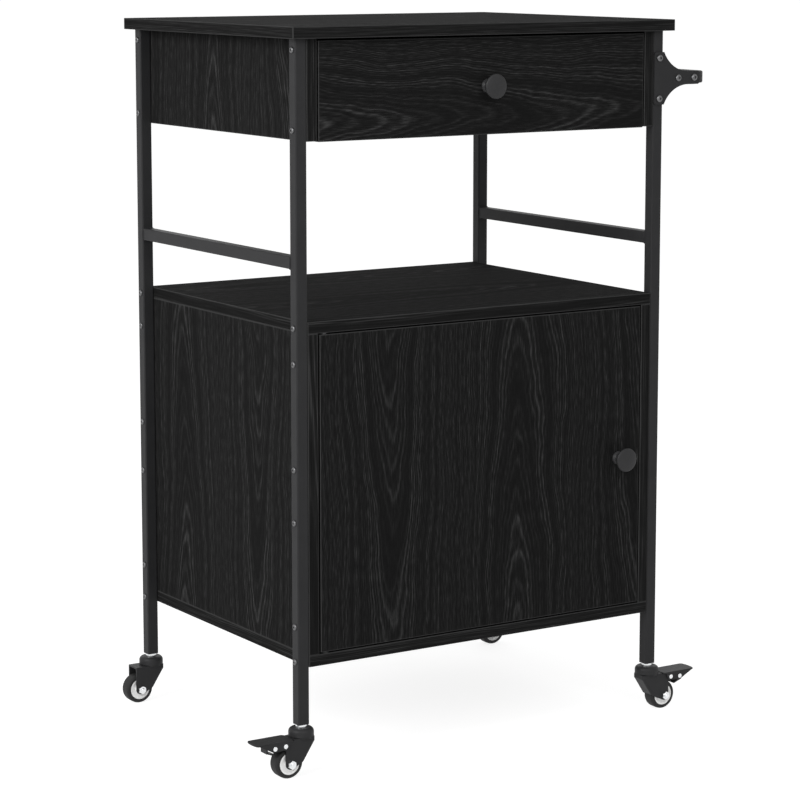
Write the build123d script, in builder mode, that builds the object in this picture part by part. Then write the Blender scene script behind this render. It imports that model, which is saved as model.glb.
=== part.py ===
from build123d import *
import os
from math import asin, atan2, cos, degrees, hypot, sin

# Kitchen cart on four casters: two welded side frames of square steel tube carry a top board, a drawer case
# under it, an open bay with a guard bar on each side, and a cabinet with one inset door. A tube rail on two
# curved brackets is the push handle. All sizes are in millimetres. The front faces -Y, +Z is up, and the
# origin is on the floor at the middle of the whole cart's outer box.

os.makedirs("parts", exist_ok=True)

# Steel frame
frame_width = 570.0
frame_depth = 430.0
leg_length = 868.0
tube_side = 16.0
tube_wall = 1.0
tube_corner = 2.0
guard_bar_rise = 66.0

# Boards
board_thickness = 15.0
board_edge_radius = 0.8
side_overhang = 10.0
front_overhang = 12.0
back_overhang = 12.0
bottom_board_rise = 74.0
cabinet_panel_height = 412.0
case_height = 127.0
back_sheet_thickness = 4.0
back_sheet_inset = 12.0
groove_depth = 6.0
groove_clearance = 0.2

# Dowels and screws
dowel_diameter = 8.0
dowel_length = 30.0
dowel_depth_in_board = 10.0
dowel_setback = 45.0
hole_end_clearance = 0.5
screw_diameter = 4.0
screw_head_diameter = 8.0
screw_head_height = 2.2
screw_hole_clearance = 0.2
screw_bite_in_panel = 11.0
screw_bite_in_board_end = 18.0
case_screw_inset = 14.0
case_dowel_inset = 32.0
panel_screw_inner_offset = 34.0
panel_screw_outer_offset = 168.0

# Drawer
drawer_front_gap = 2.0
drawer_front_top_gap = 3.0
drawer_front_drop = 1.0
drawer_board_thickness = 12.0
drawer_side_height = 90.0
drawer_side_rise = 12.0
drawer_rear_clearance = 30.0
drawer_floor_thickness = 4.0
drawer_floor_rise = 8.0
drawer_groove_depth = 6.0
drawer_dowel_diameter = 6.0
drawer_dowel_length = 24.0
drawer_dowel_depth_in_face = 8.0
drawer_dowel_inset = 26.0

# Drawer runners
runner_space = 12.5
runner_case_depth = 10.5
runner_height = 27.0
runner_end_setback = 16.0
runner_setback = 4.0
runner_steel = 1.2
runner_corner = 0.9
runner_slide_clearance = 0.3
runner_lip = 2.4
runner_slot_length = 8.0
runner_slot_width = 4.4
runner_slot_pitch = 128.0

# Knobs
knob_diameter = 33.0
knob_projection = 24.0
knob_foot_diameter = 16.0
knob_foot_height = 2.0
knob_neck_diameter = 11.0
knob_neck_height = 6.5
knob_underside_diameter = 27.0
knob_underside_height = 13.0
knob_rim_height = 16.0
knob_screw_diameter = 4.0
knob_screw_bite = 12.0
knob_screw_head_diameter = 8.0
knob_screw_head_height = 2.4
door_knob_inset = 36.0

# Door
door_hinge_gap = 2.5
door_free_gap = 2.0
hinge_pin_diameter = 5.0
hinge_pin_setback = 6.5
hinge_pin_inset = 8.5
hinge_pin_in_door = 14.0
hinge_pin_in_bush = 7.2
hinge_collar_diameter = 8.0
hinge_running_clearance = 0.05
bush_wall = 1.5
bush_flange = 1.0
bush_flange_diameter = 11.0
catch_length = 42.0
catch_depth = 15.0
catch_height = 13.0
catch_corner = 1.6
catch_side_setback = 12.0
catch_magnet_gap = 0.3
catch_plate_thickness = 1.2
catch_plate_length = 36.0
catch_plate_height = 12.0

# Push handle
handle_reach = 80.0
handle_end_gap = 0.3
handle_bend_radius = 16.0
bracket_thickness = 2.5
bracket_height = 70.0
bracket_arm_height = 18.0
bracket_arm_reach = 60.0
bracket_curve_reach = 40.0
bracket_corner = 3.0
bracket_leg_bolt_pitch = 54.0
bracket_inner_bolt_reach = 24.0
bracket_outer_bolt_reach = 51.0
bolt_diameter = 5.0
bolt_head_diameter = 9.5
bolt_head_height = 2.75
bolt_grip = 10.0

# Caster stems and wheels
caster_height = 67.0
stem_diameter = 8.0
stem_length = 26.0
stem_collar_diameter = 15.0
stem_head_diameter = 14.0
stem_head_height = 3.0
stem_clearance = 0.05
insert_length = 30.0
insert_clearance = 0.1
wheel_diameter = 40.0
wheel_width = 18.0
tyre_shoulder = 4.0
hub_diameter = 29.0
hub_width = 17.0
hub_rim = 2.5
hub_recess = 1.5
hub_boss_diameter = 13.0
hub_side_clearance = 0.3
hub_bore_clearance = 0.05
axle_diameter = 6.0
axle_head_diameter = 10.0
axle_head_height = 3.0
axle_thread_end = 1.5
nut_across_flats = 10.0
nut_height = 5.0
nut_turn = 30.0
nut_thread_clearance = 0.05

# Caster forks. Reaches are measured from the swivel axis along the trail, heights from the floor.
caster_trail = 22.0
fork_steel = 2.0
fork_wheel_clearance = 1.0
fork_top = 63.0
fork_top_diameter = 25.0
fork_cap_diameter = 33.0
fork_cap_low = 52.5
fork_cap_shoulder = 57.5
fork_neck_diameter = 29.0
fork_deck = 51.5
fork_heel = 46.0
fork_corner = 4.0
fork_corner_relief = 0.05
fork_shin_reach = 3.5
fork_shin_height = 24.0
fork_shin_radius = 3.0
fork_ankle_radius = 7.0
fork_notch_reach = 17.5
fork_lug_root = 38.0

# Brake pedals, in the same measures
pedal_start = 19.0
pedal_reach = 73.0
pedal_bow = 2.0
pedal_corner = 4.0
pedal_steel = 1.8
pedal_side_clearance = 0.3
pedal_pivot_reach = 31.0
pedal_pivot_height = 45.5
pedal_pivot_lug_radius = 4.4
pedal_lug_clearance = 0.3
pedal_pin_diameter = 4.0
pedal_pin_clearance = 0.05
rivet_head_diameter = 5.6
rivet_head_height = 1.2
cheek_ear_radius = 5.0
skirt_start = 24.0
skirt_end = 68.0
shoe_pin_reach = 46.5
shoe_pin_height = 44.5
shoe_width = 15.0
shoe_steel = 2.0
shoe_hanger_reach = 54.0
shoe_hanger_bottom = 38.0
shoe_pad_reach = 42.0
shoe_pad_height = 33.5

# Places that follow from the sizes
left_reach = pedal_reach - tube_side / 2
frame_left = -(frame_width + handle_reach - left_reach) / 2
frame_right = frame_left + frame_width
frame_front = -(frame_depth + back_overhang - knob_projection) / 2
frame_back = frame_front + frame_depth
leg_bottom = caster_height
leg_top = leg_bottom + leg_length
board_left = frame_left + tube_side
board_right = frame_right - tube_side
bottom_board_under = leg_bottom + bottom_board_rise
cabinet_floor = bottom_board_under + board_thickness
cabinet_ceiling = cabinet_floor + cabinet_panel_height
cabinet_middle = (cabinet_floor + cabinet_ceiling) / 2
shelf_top = cabinet_ceiling + board_thickness
guard_bar_under = shelf_top + guard_bar_rise
case_bottom = leg_top - case_height
inner_left = board_left + board_thickness
inner_right = board_right - board_thickness
leg_middle_front = frame_front + tube_side / 2
leg_middle_back = frame_back - tube_side / 2
leg_middles_y = [leg_middle_front, leg_middle_back]
back_sheet_front = frame_back - back_sheet_inset - back_sheet_thickness
hinge_axis_x = inner_left + door_hinge_gap + hinge_pin_inset
hinge_axis_y = frame_front + hinge_pin_setback

# Heights of the screws through each leg: two in the drawer case, four in the cabinet side, and one each in
# the ends of the shelf board and the bottom board
case_screw_heights = [leg_top - case_screw_inset, case_bottom + case_screw_inset]
panel_screw_heights = [
    cabinet_middle + side * offset
    for side in (-1, 1)
    for offset in (panel_screw_inner_offset, panel_screw_outer_offset)
]
shelf_screw_height = shelf_top - board_thickness / 2
bottom_screw_height = cabinet_floor - board_thickness / 2
side_screw_heights = case_screw_heights + panel_screw_heights + [shelf_screw_height, bottom_screw_height]

# Dowel places: upright dowels in the side panels' middles, and level ones that hold the case back
dowel_places_y = [frame_front + dowel_setback, frame_back - dowel_setback]
dowel_places_x = [board_left + board_thickness / 2, board_right - board_thickness / 2]
side_dowel_places = [(x, y) for x in dowel_places_x for y in dowel_places_y]
case_dowel_heights = [case_bottom + case_dowel_inset, leg_top - case_dowel_inset]
case_back_dowel_places = [(frame_back - board_thickness / 2, z) for z in case_dowel_heights]
panel_dowel_depth = dowel_length - dowel_depth_in_board + hole_end_clearance
board_dowel_depth = dowel_depth_in_board + hole_end_clearance
panel_screw_depth = screw_bite_in_panel + hole_end_clearance
board_end_screw_depth = screw_bite_in_board_end + hole_end_clearance


def save(builder, name):
    """Label a finished piece and write it as its own STEP file."""
    builder.part.label = name
    export_step(builder.part, f"parts/{name}.step")


def facing_right(x):
    """Plane at this x whose own axes run along +Y and +Z and whose normal is +X."""
    return Plane(origin=(x, 0, 0), x_dir=(0, 1, 0), z_dir=(1, 0, 0))


def facing_front(y):
    """Plane at this y whose own axes run along +X and +Z and whose normal is -Y."""
    return Plane(origin=(0, y, 0), x_dir=(1, 0, 0), z_dir=(0, -1, 0))


def facing_up(z):
    """Level plane at this height whose own axes run along +X and +Y."""
    return Plane.XY.offset(z)


def bore(plane, places, diameter, depth):
    """Bore round holes at these places of a plane, along its normal for a positive depth."""
    with BuildSketch(plane) as rounds:
        with Locations(*places):
            Circle(diameter / 2)
    extrude(rounds.sketch, amount=depth, mode=Mode.SUBTRACT)


def add_pins(plane, places, diameter, length):
    """Add round pins at these places of a plane, along its normal for a positive length."""
    with BuildSketch(plane) as rounds:
        with Locations(*places):
            Circle(diameter / 2)
    extrude(rounds.sketch, amount=length)


def board(x_min, x_max, y_min, y_max, z_min, z_max):
    """Add one edge-banded board to the current part, its arrises slightly rounded."""
    with BuildSketch(facing_up(z_min)) as outline:
        with Locations(((x_min + x_max) / 2, (y_min + y_max) / 2)):
            Rectangle(x_max - x_min, y_max - y_min)
    extrude(outline.sketch, amount=z_max - z_min)
    fillet(edges(), radius=board_edge_radius)


def tube_profile():
    """Draw the rounded square tube's wall in the current sketch."""
    inner_side = tube_side - 2 * tube_wall
    RectangleRounded(tube_side, tube_side, tube_corner)
    RectangleRounded(inner_side, inner_side, tube_corner - tube_wall, mode=Mode.SUBTRACT)


def one_screw(head_diameter, head_height, diameter, length):
    """Return one button-head screw that stands head up on Z = 0, with its shank below."""
    head = head_diameter / 2
    crown = head_height / 2
    with BuildPart() as screw:
        with BuildSketch(Plane.XZ):
            with BuildLine():
                Polyline(
                    (0, -length),
                    (diameter / 2, -length),
                    (diameter / 2, 0),
                    (head, 0),
                    (head, crown),
                    (head - crown, head_height),
                    (0, head_height),
                    (0, -length),
                )
            make_face()
        revolve(axis=Axis.Z)
    return screw.part


# Upright tubes of the two side frames, open at both ends, with clearance holes for the side screws
def make_leg(name, left_x, front_y, bracket_face_y):
    middle_x = left_x + tube_side / 2
    middle_y = front_y + tube_side / 2
    with BuildPart() as leg:
        with BuildSketch(Plane((middle_x, middle_y, leg_bottom))):
            tube_profile()
        extrude(amount=leg_length)
        bore(
            facing_right(left_x),
            [(middle_y, z) for z in side_screw_heights],
            screw_diameter + 2 * screw_hole_clearance,
            tube_side,
        )
        if bracket_face_y is not None:
            with BuildSketch(facing_front(bracket_face_y)):
                with Locations(*[(middle_x, z) for z in bracket_leg_bolt_heights]):
                    Circle(bolt_diameter / 2)
            extrude(amount=2 * tube_wall, both=True, mode=Mode.SUBTRACT)
    save(leg, name)


# Guard bars welded between the front and back leg of each side frame
def make_guard_bar(name, left_x):
    middle = (left_x + tube_side / 2, frame_front + tube_side, guard_bar_under + tube_side / 2)
    with BuildPart() as bar:
        with BuildSketch(Plane(middle, x_dir=(1, 0, 0), z_dir=(0, 1, 0))):
            tube_profile()
        extrude(amount=frame_depth - 2 * tube_side)
    save(bar, name)


# Top board, overhanging the frame on all four sides, with blind dowel holes over the case panels
def make_top_board():
    with BuildPart() as top:
        board(
            frame_left - side_overhang,
            frame_right + side_overhang,
            frame_front - front_overhang,
            frame_back + back_overhang,
            leg_top,
            leg_top + board_thickness,
        )
        bore(facing_up(leg_top), side_dowel_places, dowel_diameter, board_dowel_depth)
    save(top, "top_board")


def cut_back_sheet_groove(x_min, x_max, z_min, z_max):
    """Cut the groove that the thin cabinet back slides into."""
    with BuildSketch(facing_front(back_sheet_front - groove_clearance)) as groove:
        with Locations(((x_min + x_max) / 2, (z_min + z_max) / 2)):
            Rectangle(x_max - x_min, z_max - z_min)
    extrude(groove.sketch, amount=-(back_sheet_thickness + 2 * groove_clearance), mode=Mode.SUBTRACT)


def make_cabinet_board(name, under, inner_face, outward, screw_height):
    """Make the shelf board or the bottom board; outward is +1 where the cabinet lies below it."""
    groove_far = inner_face + outward * groove_depth
    with BuildPart() as level_board:
        board(board_left, board_right, frame_front, frame_back, under, under + board_thickness)
        bore(facing_up(inner_face), side_dowel_places, dowel_diameter, outward * board_dowel_depth)
        cut_back_sheet_groove(
            inner_left - groove_depth,
            inner_right + groove_depth,
            min(inner_face, groove_far),
            max(inner_face, groove_far),
        )
        for x, way in ((board_left, 1), (board_right, -1)):
            places = [(y, screw_height) for y in leg_middles_y]
            bore(facing_right(x), places, screw_diameter, way * board_end_screw_depth)
        bore(
            facing_up(inner_face),
            [(hinge_axis_x, hinge_axis_y)],
            hinge_pin_diameter + 2 * bush_wall,
            outward * (hinge_pin_in_bush + hole_end_clearance),
        )
    save(level_board, name)


# Cabinet side panels, standing on the bottom board, with a groove near the back edge for the thin back
def make_cabinet_side(name, outer_x, inward):
    inner_x = outer_x + inward * board_thickness
    groove_far = inner_x - inward * groove_depth
    dowels = [((outer_x + inner_x) / 2, y) for y in dowel_places_y]
    screws = [(y, z) for y in leg_middles_y for z in panel_screw_heights]
    left, right = sorted((outer_x, inner_x))
    with BuildPart() as side:
        board(left, right, frame_front, frame_back, cabinet_floor, cabinet_ceiling)
        bore(facing_up(cabinet_floor), dowels, dowel_diameter, panel_dowel_depth)
        bore(facing_up(cabinet_ceiling), dowels, dowel_diameter, -panel_dowel_depth)
        bore(facing_right(outer_x), screws, screw_diameter, inward * panel_screw_depth)
        groove_left, groove_right = sorted((inner_x, groove_far))
        cut_back_sheet_groove(groove_left, groove_right, cabinet_floor, cabinet_ceiling)
    save(side, name)


# Thin cabinet back, held in the grooves on all four edges
def make_cabinet_back():
    reach = groove_depth - groove_clearance
    with BuildPart() as back:
        with BuildSketch(facing_front(back_sheet_front)):
            with Locations(((inner_left + inner_right) / 2, cabinet_middle)):
                Rectangle(inner_right - inner_left + 2 * reach, cabinet_panel_height + 2 * reach)
        extrude(amount=-back_sheet_thickness)
    save(back, "cabinet_back")


# Drawer case: two side panels hung from the legs under the top board, joined by a back panel
def make_case_side(name, outer_x, inward):
    inner_x = outer_x + inward * board_thickness
    dowels = [((outer_x + inner_x) / 2, y) for y in dowel_places_y]
    screws = [(y, z) for y in leg_middles_y for z in case_screw_heights]
    with BuildPart() as side:
        board(min(outer_x, inner_x), max(outer_x, inner_x), frame_front, frame_back, case_bottom, leg_top)
        bore(facing_up(leg_top), dowels, dowel_diameter, -panel_dowel_depth)
        bore(facing_right(outer_x), screws, screw_diameter, inward * panel_screw_depth)
        bore(facing_right(inner_x), case_back_dowel_places, dowel_diameter, -inward * board_dowel_depth)
    save(side, name)


def make_case_back():
    with BuildPart() as back:
        board(inner_left, inner_right, frame_back - board_thickness, frame_back, case_bottom, leg_top)
        for x, way in ((inner_left, 1), (inner_right, -1)):
            bore(facing_right(x), case_back_dowel_places, dowel_diameter, way * panel_dowel_depth)
    save(back, "drawer_case_back")


# Beech dowels that join the boards: case to top board, case back to case sides, cabinet sides to both boards
def make_board_dowels():
    with BuildPart() as dowels:
        for z, way in ((leg_top, 1), (cabinet_ceiling, 1), (cabinet_floor, -1)):
            start = facing_up(z + way * dowel_depth_in_board)
            add_pins(start, side_dowel_places, dowel_diameter, -way * dowel_length)
        for x, way in ((inner_left, 1), (inner_right, -1)):
            start = facing_right(x - way * dowel_depth_in_board)
            add_pins(start, case_back_dowel_places, dowel_diameter, way * dowel_length)
    save(dowels, "board_dowels")


# Button-head screws through the legs into the panels and board ends, all four legs as one group
def make_frame_screws():
    panel_screw_length = tube_side + screw_bite_in_panel
    into_panel = one_screw(screw_head_diameter, screw_head_height, screw_diameter, panel_screw_length)
    end_screw_length = tube_side + screw_bite_in_board_end
    into_end = one_screw(screw_head_diameter, screw_head_height, screw_diameter, end_screw_length)
    panel_heights = case_screw_heights + panel_screw_heights
    end_heights = [shelf_screw_height, bottom_screw_height]
    with BuildPart() as screws:
        for screw, heights in ((into_panel, panel_heights), (into_end, end_heights)):
            for face_x, way in ((frame_left, -1), (frame_right, 1)):
                places = [(face_x, y, z) for y in leg_middles_y for z in heights]
                with Locations(*[Plane(place, z_dir=(way, 0, 0)) for place in places]):
                    add(screw)
    save(screws, "frame_screws")


# Push handle: a bent tube rail on two curved bracket plates, bolted to the right-hand legs
handle_height = case_bottom + case_height / 2
bracket_leg_bolt_heights = [handle_height + side * bracket_leg_bolt_pitch / 2 for side in (-1, 1)]
arm_bolt_places = [
    (frame_right + reach, handle_height) for reach in (bracket_inner_bolt_reach, bracket_outer_bolt_reach)
]
leg_bolt_places = [(frame_right - tube_side / 2, z) for z in bracket_leg_bolt_heights]


def make_handle_rail():
    arm_start = frame_right + handle_end_gap
    rail_x = frame_right + handle_reach - tube_side / 2
    with BuildPart() as rail:
        with BuildLine() as route:
            FilletPolyline(
                (arm_start, leg_middle_front, handle_height),
                (rail_x, leg_middle_front, handle_height),
                (rail_x, leg_middle_back, handle_height),
                (arm_start, leg_middle_back, handle_height),
                radius=handle_bend_radius,
            )
        with BuildSketch(Plane(route.line @ 0, x_dir=(0, 1, 0), z_dir=(1, 0, 0))):
            tube_profile()
        sweep(path=route.line)
        for face_y in (frame_front, frame_back):
            with BuildSketch(facing_front(face_y)):
                with Locations(*arm_bolt_places):
                    Circle(bolt_diameter / 2)
            extrude(amount=2 * tube_wall, both=True, mode=Mode.SUBTRACT)
    save(rail, "handle_rail")


def make_handle_bracket(name, face_y, outward):
    """Cut one flat bracket plate: a tall foot on the leg, narrowing in two hollow curves to an arm."""
    half_foot = bracket_height / 2
    half_arm = bracket_arm_height / 2
    rise = half_foot - half_arm
    curve_radius = (bracket_curve_reach**2 + rise**2) / (2 * rise)
    curve_end = frame_right + bracket_curve_reach
    arm_end = frame_right + bracket_arm_reach
    foot_end = frame_right - tube_side
    with BuildPart() as bracket:
        with BuildSketch(facing_front(face_y)) as outline:
            with BuildLine():
                RadiusArc(
                    (frame_right, handle_height + half_foot),
                    (curve_end, handle_height + half_arm),
                    -curve_radius,
                )
                Polyline(
                    (curve_end, handle_height + half_arm),
                    (arm_end, handle_height + half_arm),
                    (arm_end, handle_height - half_arm),
                    (curve_end, handle_height - half_arm),
                )
                RadiusArc(
                    (curve_end, handle_height - half_arm),
                    (frame_right, handle_height - half_foot),
                    -curve_radius,
                )
                Polyline(
                    (frame_right, handle_height - half_foot),
                    (foot_end, handle_height - half_foot),
                    (foot_end, handle_height + half_foot),
                    (frame_right, handle_height + half_foot),
                )
            make_face()
            corners = outline.vertices().group_by(Axis.X)
            fillet(corners[0] + corners[-1], radius=bracket_corner)
            with Locations(*arm_bolt_places, *leg_bolt_places):
                Circle(bolt_diameter / 2 + screw_hole_clearance, mode=Mode.SUBTRACT)
        extrude(amount=outward * bracket_thickness)
    save(bracket, name)


def make_handle_bolts():
    bolt = one_screw(bolt_head_diameter, bolt_head_height, bolt_diameter, bracket_thickness + bolt_grip)
    with BuildPart() as bolts:
        for y, way in ((frame_front - bracket_thickness, -1), (frame_back + bracket_thickness, 1)):
            places = [(x, y, z) for x, z in arm_bolt_places + leg_bolt_places]
            with Locations(*[Plane(place, x_dir=(1, 0, 0), z_dir=(0, way, 0)) for place in places]):
                add(bolt)
    save(bolts, "handle_bolts")


# Drawer box between its runners
drawer_outer_left = inner_left + runner_space
drawer_outer_right = inner_right - runner_space
drawer_inner_left = drawer_outer_left + drawer_board_thickness
drawer_inner_right = drawer_outer_right - drawer_board_thickness
drawer_front_back = frame_front + board_thickness
drawer_side_length = frame_depth - 2 * board_thickness - drawer_rear_clearance
drawer_back_end = drawer_front_back + drawer_side_length
drawer_low = case_bottom + drawer_side_rise
drawer_high = drawer_low + drawer_side_height
drawer_middle_z = (drawer_low + drawer_high) / 2
drawer_floor_under = drawer_low + drawer_floor_rise
drawer_front_low = case_bottom - drawer_front_drop
drawer_front_high = leg_top - drawer_front_top_gap
drawer_knob_z = (drawer_front_low + drawer_front_high) / 2
drawer_middle_x = (inner_left + inner_right) / 2
drawer_dowel_heights = [drawer_low + drawer_dowel_inset, drawer_high - drawer_dowel_inset]
drawer_side_middles_x = [
    drawer_outer_left + drawer_board_thickness / 2,
    drawer_outer_right - drawer_board_thickness / 2,
]
drawer_front_dowel_places = [(x, z) for x in drawer_side_middles_x for z in drawer_dowel_heights]
drawer_back_dowel_places = [(drawer_back_end - drawer_board_thickness / 2, z) for z in drawer_dowel_heights]
drawer_face_hole = drawer_dowel_depth_in_face + hole_end_clearance
drawer_end_hole = drawer_dowel_length - drawer_dowel_depth_in_face + hole_end_clearance


def cut_drawer_floor_groove():
    """Cut the groove of the drawer's thin floor out of the current piece."""
    y_min = drawer_front_back - drawer_groove_depth
    y_max = drawer_back_end - drawer_board_thickness + drawer_groove_depth
    with BuildSketch(facing_up(drawer_floor_under - groove_clearance)) as groove:
        with Locations((drawer_middle_x, (y_min + y_max) / 2)):
            Rectangle(drawer_inner_right - drawer_inner_left + 2 * drawer_groove_depth, y_max - y_min)
    extrude(groove.sketch, amount=drawer_floor_thickness + 2 * groove_clearance, mode=Mode.SUBTRACT)


def make_drawer_front():
    rear = facing_front(drawer_front_back)
    with BuildPart() as front:
        board(
            inner_left + drawer_front_gap,
            inner_right - drawer_front_gap,
            frame_front,
            drawer_front_back,
            drawer_front_low,
            drawer_front_high,
        )
        cut_drawer_floor_groove()
        bore(rear, drawer_front_dowel_places, drawer_dowel_diameter, drawer_face_hole)
        knob_hole_diameter = knob_screw_diameter + 2 * screw_hole_clearance
        bore(rear, [(drawer_middle_x, drawer_knob_z)], knob_hole_diameter, board_thickness)
    save(front, "drawer_front")


def make_drawer_side(name, outer_x, inward):
    inner_x = outer_x + inward * drawer_board_thickness
    middle_x = (outer_x + inner_x) / 2
    front_places = [(middle_x, z) for z in drawer_dowel_heights]
    back_places = drawer_back_dowel_places
    left, right = sorted((outer_x, inner_x))
    with BuildPart() as side:
        board(left, right, drawer_front_back, drawer_back_end, drawer_low, drawer_high)
        cut_drawer_floor_groove()
        bore(facing_front(drawer_front_back), front_places, drawer_dowel_diameter, -drawer_end_hole)
        bore(facing_right(inner_x), back_places, drawer_dowel_diameter, -inward * drawer_face_hole)
    save(side, name)


def make_drawer_back():
    y_min = drawer_back_end - drawer_board_thickness
    with BuildPart() as back:
        board(drawer_inner_left, drawer_inner_right, y_min, drawer_back_end, drawer_low, drawer_high)
        cut_drawer_floor_groove()
        for x, way in ((drawer_inner_left, 1), (drawer_inner_right, -1)):
            bore(facing_right(x), drawer_back_dowel_places, drawer_dowel_diameter, way * drawer_end_hole)
    save(back, "drawer_back")


# Thin drawer floor, held in the groove on all four edges
def make_drawer_floor():
    reach = drawer_groove_depth - groove_clearance
    y_min = drawer_front_back - reach
    y_max = drawer_back_end - drawer_board_thickness + reach
    with BuildPart() as floor:
        with BuildSketch(facing_up(drawer_floor_under)):
            with Locations((drawer_middle_x, (y_min + y_max) / 2)):
                Rectangle(drawer_inner_right - drawer_inner_left + 2 * reach, y_max - y_min)
        extrude(amount=drawer_floor_thickness)
    save(floor, "drawer_floor")


# Dowels that hold the drawer's sides to its front and its back between the sides
def make_drawer_dowels():
    with BuildPart() as dowels:
        start = facing_front(drawer_front_back - drawer_dowel_depth_in_face)
        add_pins(start, drawer_front_dowel_places, drawer_dowel_diameter, -drawer_dowel_length)
        for x, way in ((drawer_inner_left, 1), (drawer_inner_right, -1)):
            start = facing_right(x - way * drawer_dowel_depth_in_face)
            add_pins(start, drawer_back_dowel_places, drawer_dowel_diameter, way * drawer_dowel_length)
    save(dowels, "drawer_dowels")


# Drawer runners. The case member is a rolled channel with turned-in lips. The drawer member is a channel
# whose two brims run inside it, caught behind those lips.
runner_front = drawer_front_back + runner_setback
runner_length = drawer_side_length - runner_setback - runner_end_setback
runner_slot_places = [
    (runner_front + runner_length / 2 + step * runner_slot_pitch, drawer_middle_z) for step in (-1, 0, 1)
]
runner_inside = runner_height - 2 * runner_steel
runner_mouth = runner_inside - 2 * runner_lip
brim_reach = runner_case_depth - runner_steel - runner_slide_clearance


def cut_runner_slots(x, way):
    """Cut the three screw slots through a runner's web that lies on the plane at this x."""
    with BuildSketch(facing_right(x)) as slots:
        with Locations(*runner_slot_places):
            SlotOverall(runner_slot_length, runner_slot_width)
    extrude(slots.sketch, amount=way * runner_steel, mode=Mode.SUBTRACT)


def make_case_runner(name, case_x, inward):
    with BuildPart() as runner:
        with BuildSketch(facing_front(runner_front)):
            with Locations((case_x + inward * runner_case_depth / 2, drawer_middle_z)):
                RectangleRounded(runner_case_depth, runner_height, runner_corner)
                Rectangle(runner_case_depth - 2 * runner_steel, runner_inside, mode=Mode.SUBTRACT)
            with Locations((case_x + inward * runner_case_depth, drawer_middle_z)):
                Rectangle(2 * (runner_steel + runner_corner), runner_mouth, mode=Mode.SUBTRACT)
        extrude(amount=-runner_length)
        cut_runner_slots(case_x, inward)
    save(runner, name)


def make_drawer_runner(name, drawer_x, outward):
    """Roll one drawer member; outward points from the drawer's side to the case."""
    wall_height = runner_mouth - 2 * runner_slide_clearance
    brim_height = runner_inside - 2 * runner_slide_clearance
    wall_depth = runner_space - brim_reach + runner_steel
    brim_middle = drawer_x + outward * (wall_depth - runner_steel / 2)
    with BuildPart() as runner:
        with BuildSketch(facing_front(runner_front)):
            with Locations((drawer_x + outward * wall_depth / 2, drawer_middle_z)):
                Rectangle(wall_depth, wall_height)
            with Locations((brim_middle, drawer_middle_z)):
                Rectangle(runner_steel, brim_height)
            with Locations((drawer_x + outward * (runner_steel + wall_depth / 2), drawer_middle_z)):
                Rectangle(wall_depth, wall_height - 2 * runner_steel, mode=Mode.SUBTRACT)
        extrude(amount=-runner_length)
        cut_runner_slots(drawer_x, outward)
    save(runner, name)


# Turned mushroom knobs: a foot, a waisted neck and a crowned head, bored from behind for the screw
def make_knob(name, x, z):
    rim = knob_diameter / 2
    foot = knob_foot_diameter / 2
    underside = knob_underside_diameter / 2
    with BuildPart() as knob:
        with BuildSketch(Plane((x, frame_front, z), x_dir=(1, 0, 0), z_dir=(0, 0, -1))):
            with BuildLine():
                Polyline((0, knob_projection), (0, 0), (foot, 0), (foot, knob_foot_height))
                Spline(
                    (foot, knob_foot_height),
                    (knob_neck_diameter / 2, knob_neck_height),
                    (underside, knob_underside_height),
                )
                Line((underside, knob_underside_height), (rim, knob_rim_height))
                TangentArc((0, knob_projection), (rim, knob_rim_height), tangent=(1, 0))
            make_face()
        revolve(axis=Axis((x, frame_front, z), (0, 1, 0)))
        bore(facing_front(frame_front), [(x, z)], knob_screw_diameter, knob_screw_bite + hole_end_clearance)
    save(knob, name)


def make_knob_screw(name, x, z):
    """Place the machine screw that holds a knob from behind a front of board thickness."""
    screw_length = board_thickness + knob_screw_bite
    knob_screw = one_screw(
        knob_screw_head_diameter,
        knob_screw_head_height,
        knob_screw_diameter,
        screw_length,
    )
    with BuildPart() as screw:
        with Locations(Plane((x, frame_front + board_thickness, z), z_dir=(0, 1, 0))):
            add(knob_screw)
    save(screw, name)


# Door: one inset board that turns on a steel pin in its top edge and another in its bottom edge
door_left = inner_left + door_hinge_gap
door_right = inner_right - door_free_gap
door_low = cabinet_floor + door_free_gap
door_high = cabinet_ceiling - door_free_gap
door_back = frame_front + board_thickness
door_knob_x = door_right - door_knob_inset
door_knob_z = (door_low + door_high) / 2
catch_middle_x = inner_right - catch_side_setback - catch_length / 2


def make_door():
    knob_hole = knob_screw_diameter + 2 * screw_hole_clearance
    with BuildPart() as door:
        board(door_left, door_right, frame_front, door_back, door_low, door_high)
        for z, way in ((door_low, 1), (door_high, -1)):
            depth = way * (hinge_pin_in_door + hole_end_clearance)
            bore(facing_up(z), [(hinge_axis_x, hinge_axis_y)], hinge_pin_diameter, depth)
        bore(facing_front(door_back), [(door_knob_x, door_knob_z)], knob_hole, board_thickness)
    save(door, "door_panel")


# Hinge pins: pressed into the door's edges, each with a collar that turns on its bush's flange
def make_hinge_pins():
    in_door = hinge_pin_diameter / 2
    in_bush = in_door - hinge_running_clearance
    collar = hinge_collar_diameter / 2
    collar_low = bush_flange - door_free_gap
    pin_low = -door_free_gap - hinge_pin_in_bush
    with BuildPart() as pins:
        for z, way in ((door_low, 1), (door_high, -1)):
            with BuildSketch(Plane((hinge_axis_x, hinge_axis_y, z), x_dir=(1, 0, 0), z_dir=(0, -way, 0))):
                with BuildLine():
                    Polyline(
                        (0, hinge_pin_in_door),
                        (in_door, hinge_pin_in_door),
                        (in_door, 0),
                        (collar, 0),
                        (collar, collar_low),
                        (in_bush, collar_low),
                        (in_bush, pin_low),
                        (0, pin_low),
                        (0, hinge_pin_in_door),
                    )
                make_face()
            revolve(axis=Axis((hinge_axis_x, hinge_axis_y, z), (0, 0, 1)))
    save(pins, "door_hinge_pins")


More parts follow.
